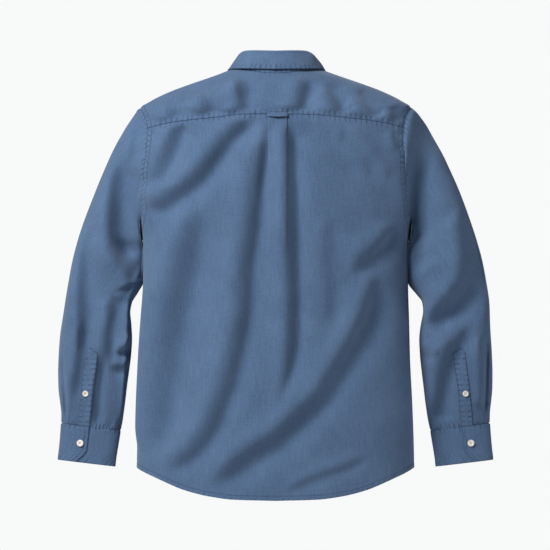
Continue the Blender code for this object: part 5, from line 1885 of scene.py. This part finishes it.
class SHIRT_OT_cuffs(bpy.types.Operator):
    """Makes both cuffs"""

    bl_idname = "shirt.make_cuffs"
    bl_label = "Cuffs"

    def execute(self, context):
        for side, name in SIDES:
            grid, seam = cuff_sheet()
            grid = grid * np.array([side, 1, 1])
            made = f"cuff_{name}_band"
            panel(made, grid, seam, settings().band_thick, [f"cuff_{name}"], flip=side < 0)
        return {"FINISHED"}


class SHIRT_OT_loop(bpy.types.Operator):
    """Makes the strap over the yoke seam"""

    bl_idname = "shirt.make_loop"
    bl_label = "Locker loop"

    def execute(self, context):
        grid = loop_sheet()
        seam = np.full(grid.shape, FAR)
        panel("locker_loop_strip", grid, seam, settings().band_thick, ["locker_loop"], flip=True)
        return {"FINISHED"}


class SHIRT_OT_buttons(bpy.types.Operator):
    """Models one button of each size, copies it to every place and sews it on"""

    bl_idname = "shirt.make_buttons"
    bl_label = "Buttons"

    def execute(self, context):
        for size, places in button_places().items():
            body = button_model(size)
            thread = thread_model(size)
            for name, place, normal in places:
                made = copied(body, f"{name}_made", place, normal)
                finished(made, shared("cast_polyester_button", button_resin), [name])
                tied = copied(thread, f"{name}_thread", place, normal)
                finished(tied, shared("undyed_button_thread", button_thread), [])
            bpy.data.objects.remove(body)
            bpy.data.objects.remove(thread)
        return {"FINISHED"}


class SHIRT_OT_stitches(bpy.types.Operator):
    """Sews the rows of stitches that show along seams, edges and hems"""

    bl_idname = "shirt.make_stitches"
    bl_label = "Stitches"

    def execute(self, context):
        capsules("stitches_body", body_runs())
        capsules("stitches_fronts", front_runs())
        for side, name in SIDES:
            runs = [armhole_run(inside, side) for inside in ARMHOLE_STITCHES]
            capsules(f"stitches_armhole_{name}", runs)
            capsules(f"stitches_cuff_{name}", cuff_runs(side))
            grid, _, facing = strip_sheet(side)
            capsules(f"stitches_sleeve_placket_{name}", strip_runs(grid, facing, side))
        stand, _, turn = stand_sheet()
        leaf, _ = leaf_sheet()
        capsules("stitches_collar", collar_runs(stand, turn, leaf))
        return {"FINISHED"}


class SHIRT_OT_stage(bpy.types.Operator):
    """Sets the camera, the lights and the plain studio the shirt hangs in"""

    bl_idname = "shirt.make_stage"
    bl_label = "Stage"

    def execute(self, context):
        scene = context.scene
        camera = bpy.data.cameras.new("camera")
        camera.sensor_width = SENSOR
        camera.lens = SENSOR * CAMERA_AWAY / VIEW_WIDE
        eye = bpy.data.objects.new("camera", camera)
        scene.collection.objects.link(eye)
        eye.location = (VIEW_X, CAMERA_AWAY, VIEW_Z)
        eye.rotation_euler = (math.pi / 2, 0, math.pi)
        scene.camera = eye
        for name, place, size, watts in STUDIO_LIGHTS:
            lamp = bpy.data.lights.new(name, "AREA")
            lamp.shape = "RECTANGLE"
            lamp.size, lamp.size_y = size
            lamp.energy = watts
            obj = bpy.data.objects.new(name, lamp)
            scene.collection.objects.link(obj)
            obj.location = place
            away = Vector(place) - Vector(LIGHTS_AIM)
            obj.rotation_euler = away.to_track_quat("Z", "Y").to_euler()
        bpy.ops.mesh.primitive_circle_add(vertices=96, radius=FLOOR_RADIUS, fill_type="NGON")
        floor = bpy.context.object
        floor.name = "studio_floor"
        floor.location = (0, 0, FLOOR_Z)
        floor.data.materials.append(shared("matt_painted_board", painted_board))
        world = bpy.data.worlds.new("studio")
        scene.world = world
        world.use_nodes = True
        tree = world.node_tree
        tree.nodes.clear()
        seen = add(tree, "ShaderNodeBackground", {"Color": opaque(BACKDROP), "Strength": 1.0})
        lit = add(tree, "ShaderNodeBackground", {"Color": opaque("#F1F4FF"), "Strength": ROOM_LIGHT})
        ray = add(tree, "ShaderNodeLightPath", out="Is Camera Ray")
        mixed = add(tree, "ShaderNodeMixShader", {0: ray, 1: lit, 2: seen})
        fill(tree, tree.nodes.new("ShaderNodeOutputWorld"), {"Surface": mixed})
        scene.view_settings.view_transform = "Standard"
        return {"FINISHED"}


OPERATORS = (
    SHIRT_OT_back,
    SHIRT_OT_yoke,
    SHIRT_OT_fronts,
    SHIRT_OT_collar,
    SHIRT_OT_sleeves,
    SHIRT_OT_cuffs,
    SHIRT_OT_loop,
    SHIRT_OT_buttons,
    SHIRT_OT_stitches,
    SHIRT_OT_stage,
)


class SHIRT_PT_panel(bpy.types.Panel):
    """Lists the shirt's settings and its steps"""

    bl_idname = "SHIRT_PT_panel"
    bl_label = "Button-up shirt"
    bl_space_type = "VIEW_3D"
    bl_region_type = "UI"
    bl_category = "Shirt"

    def draw(self, context):
        for name in ShirtSettings.__annotations__:
            self.layout.prop(context.scene.shirt_settings, name)
        for operator in OPERATORS:
            self.layout.operator(operator.bl_idname)


def register():
    for cls in (ShirtSettings, *OPERATORS, SHIRT_PT_panel):
        bpy.utils.register_class(cls)
    bpy.types.Scene.shirt_settings = PointerProperty(type=ShirtSettings)


def unregister():
    del bpy.types.Scene.shirt_settings
    for cls in (SHIRT_PT_panel, *OPERATORS[::-1], ShirtSettings):
        bpy.utils.unregister_class(cls)


def main():
    register()
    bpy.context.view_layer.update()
    for operator in OPERATORS:
        group, step = operator.bl_idname.split(".")
        getattr(getattr(bpy.ops, group), step)()


if __name__ == "__main__":
    main()
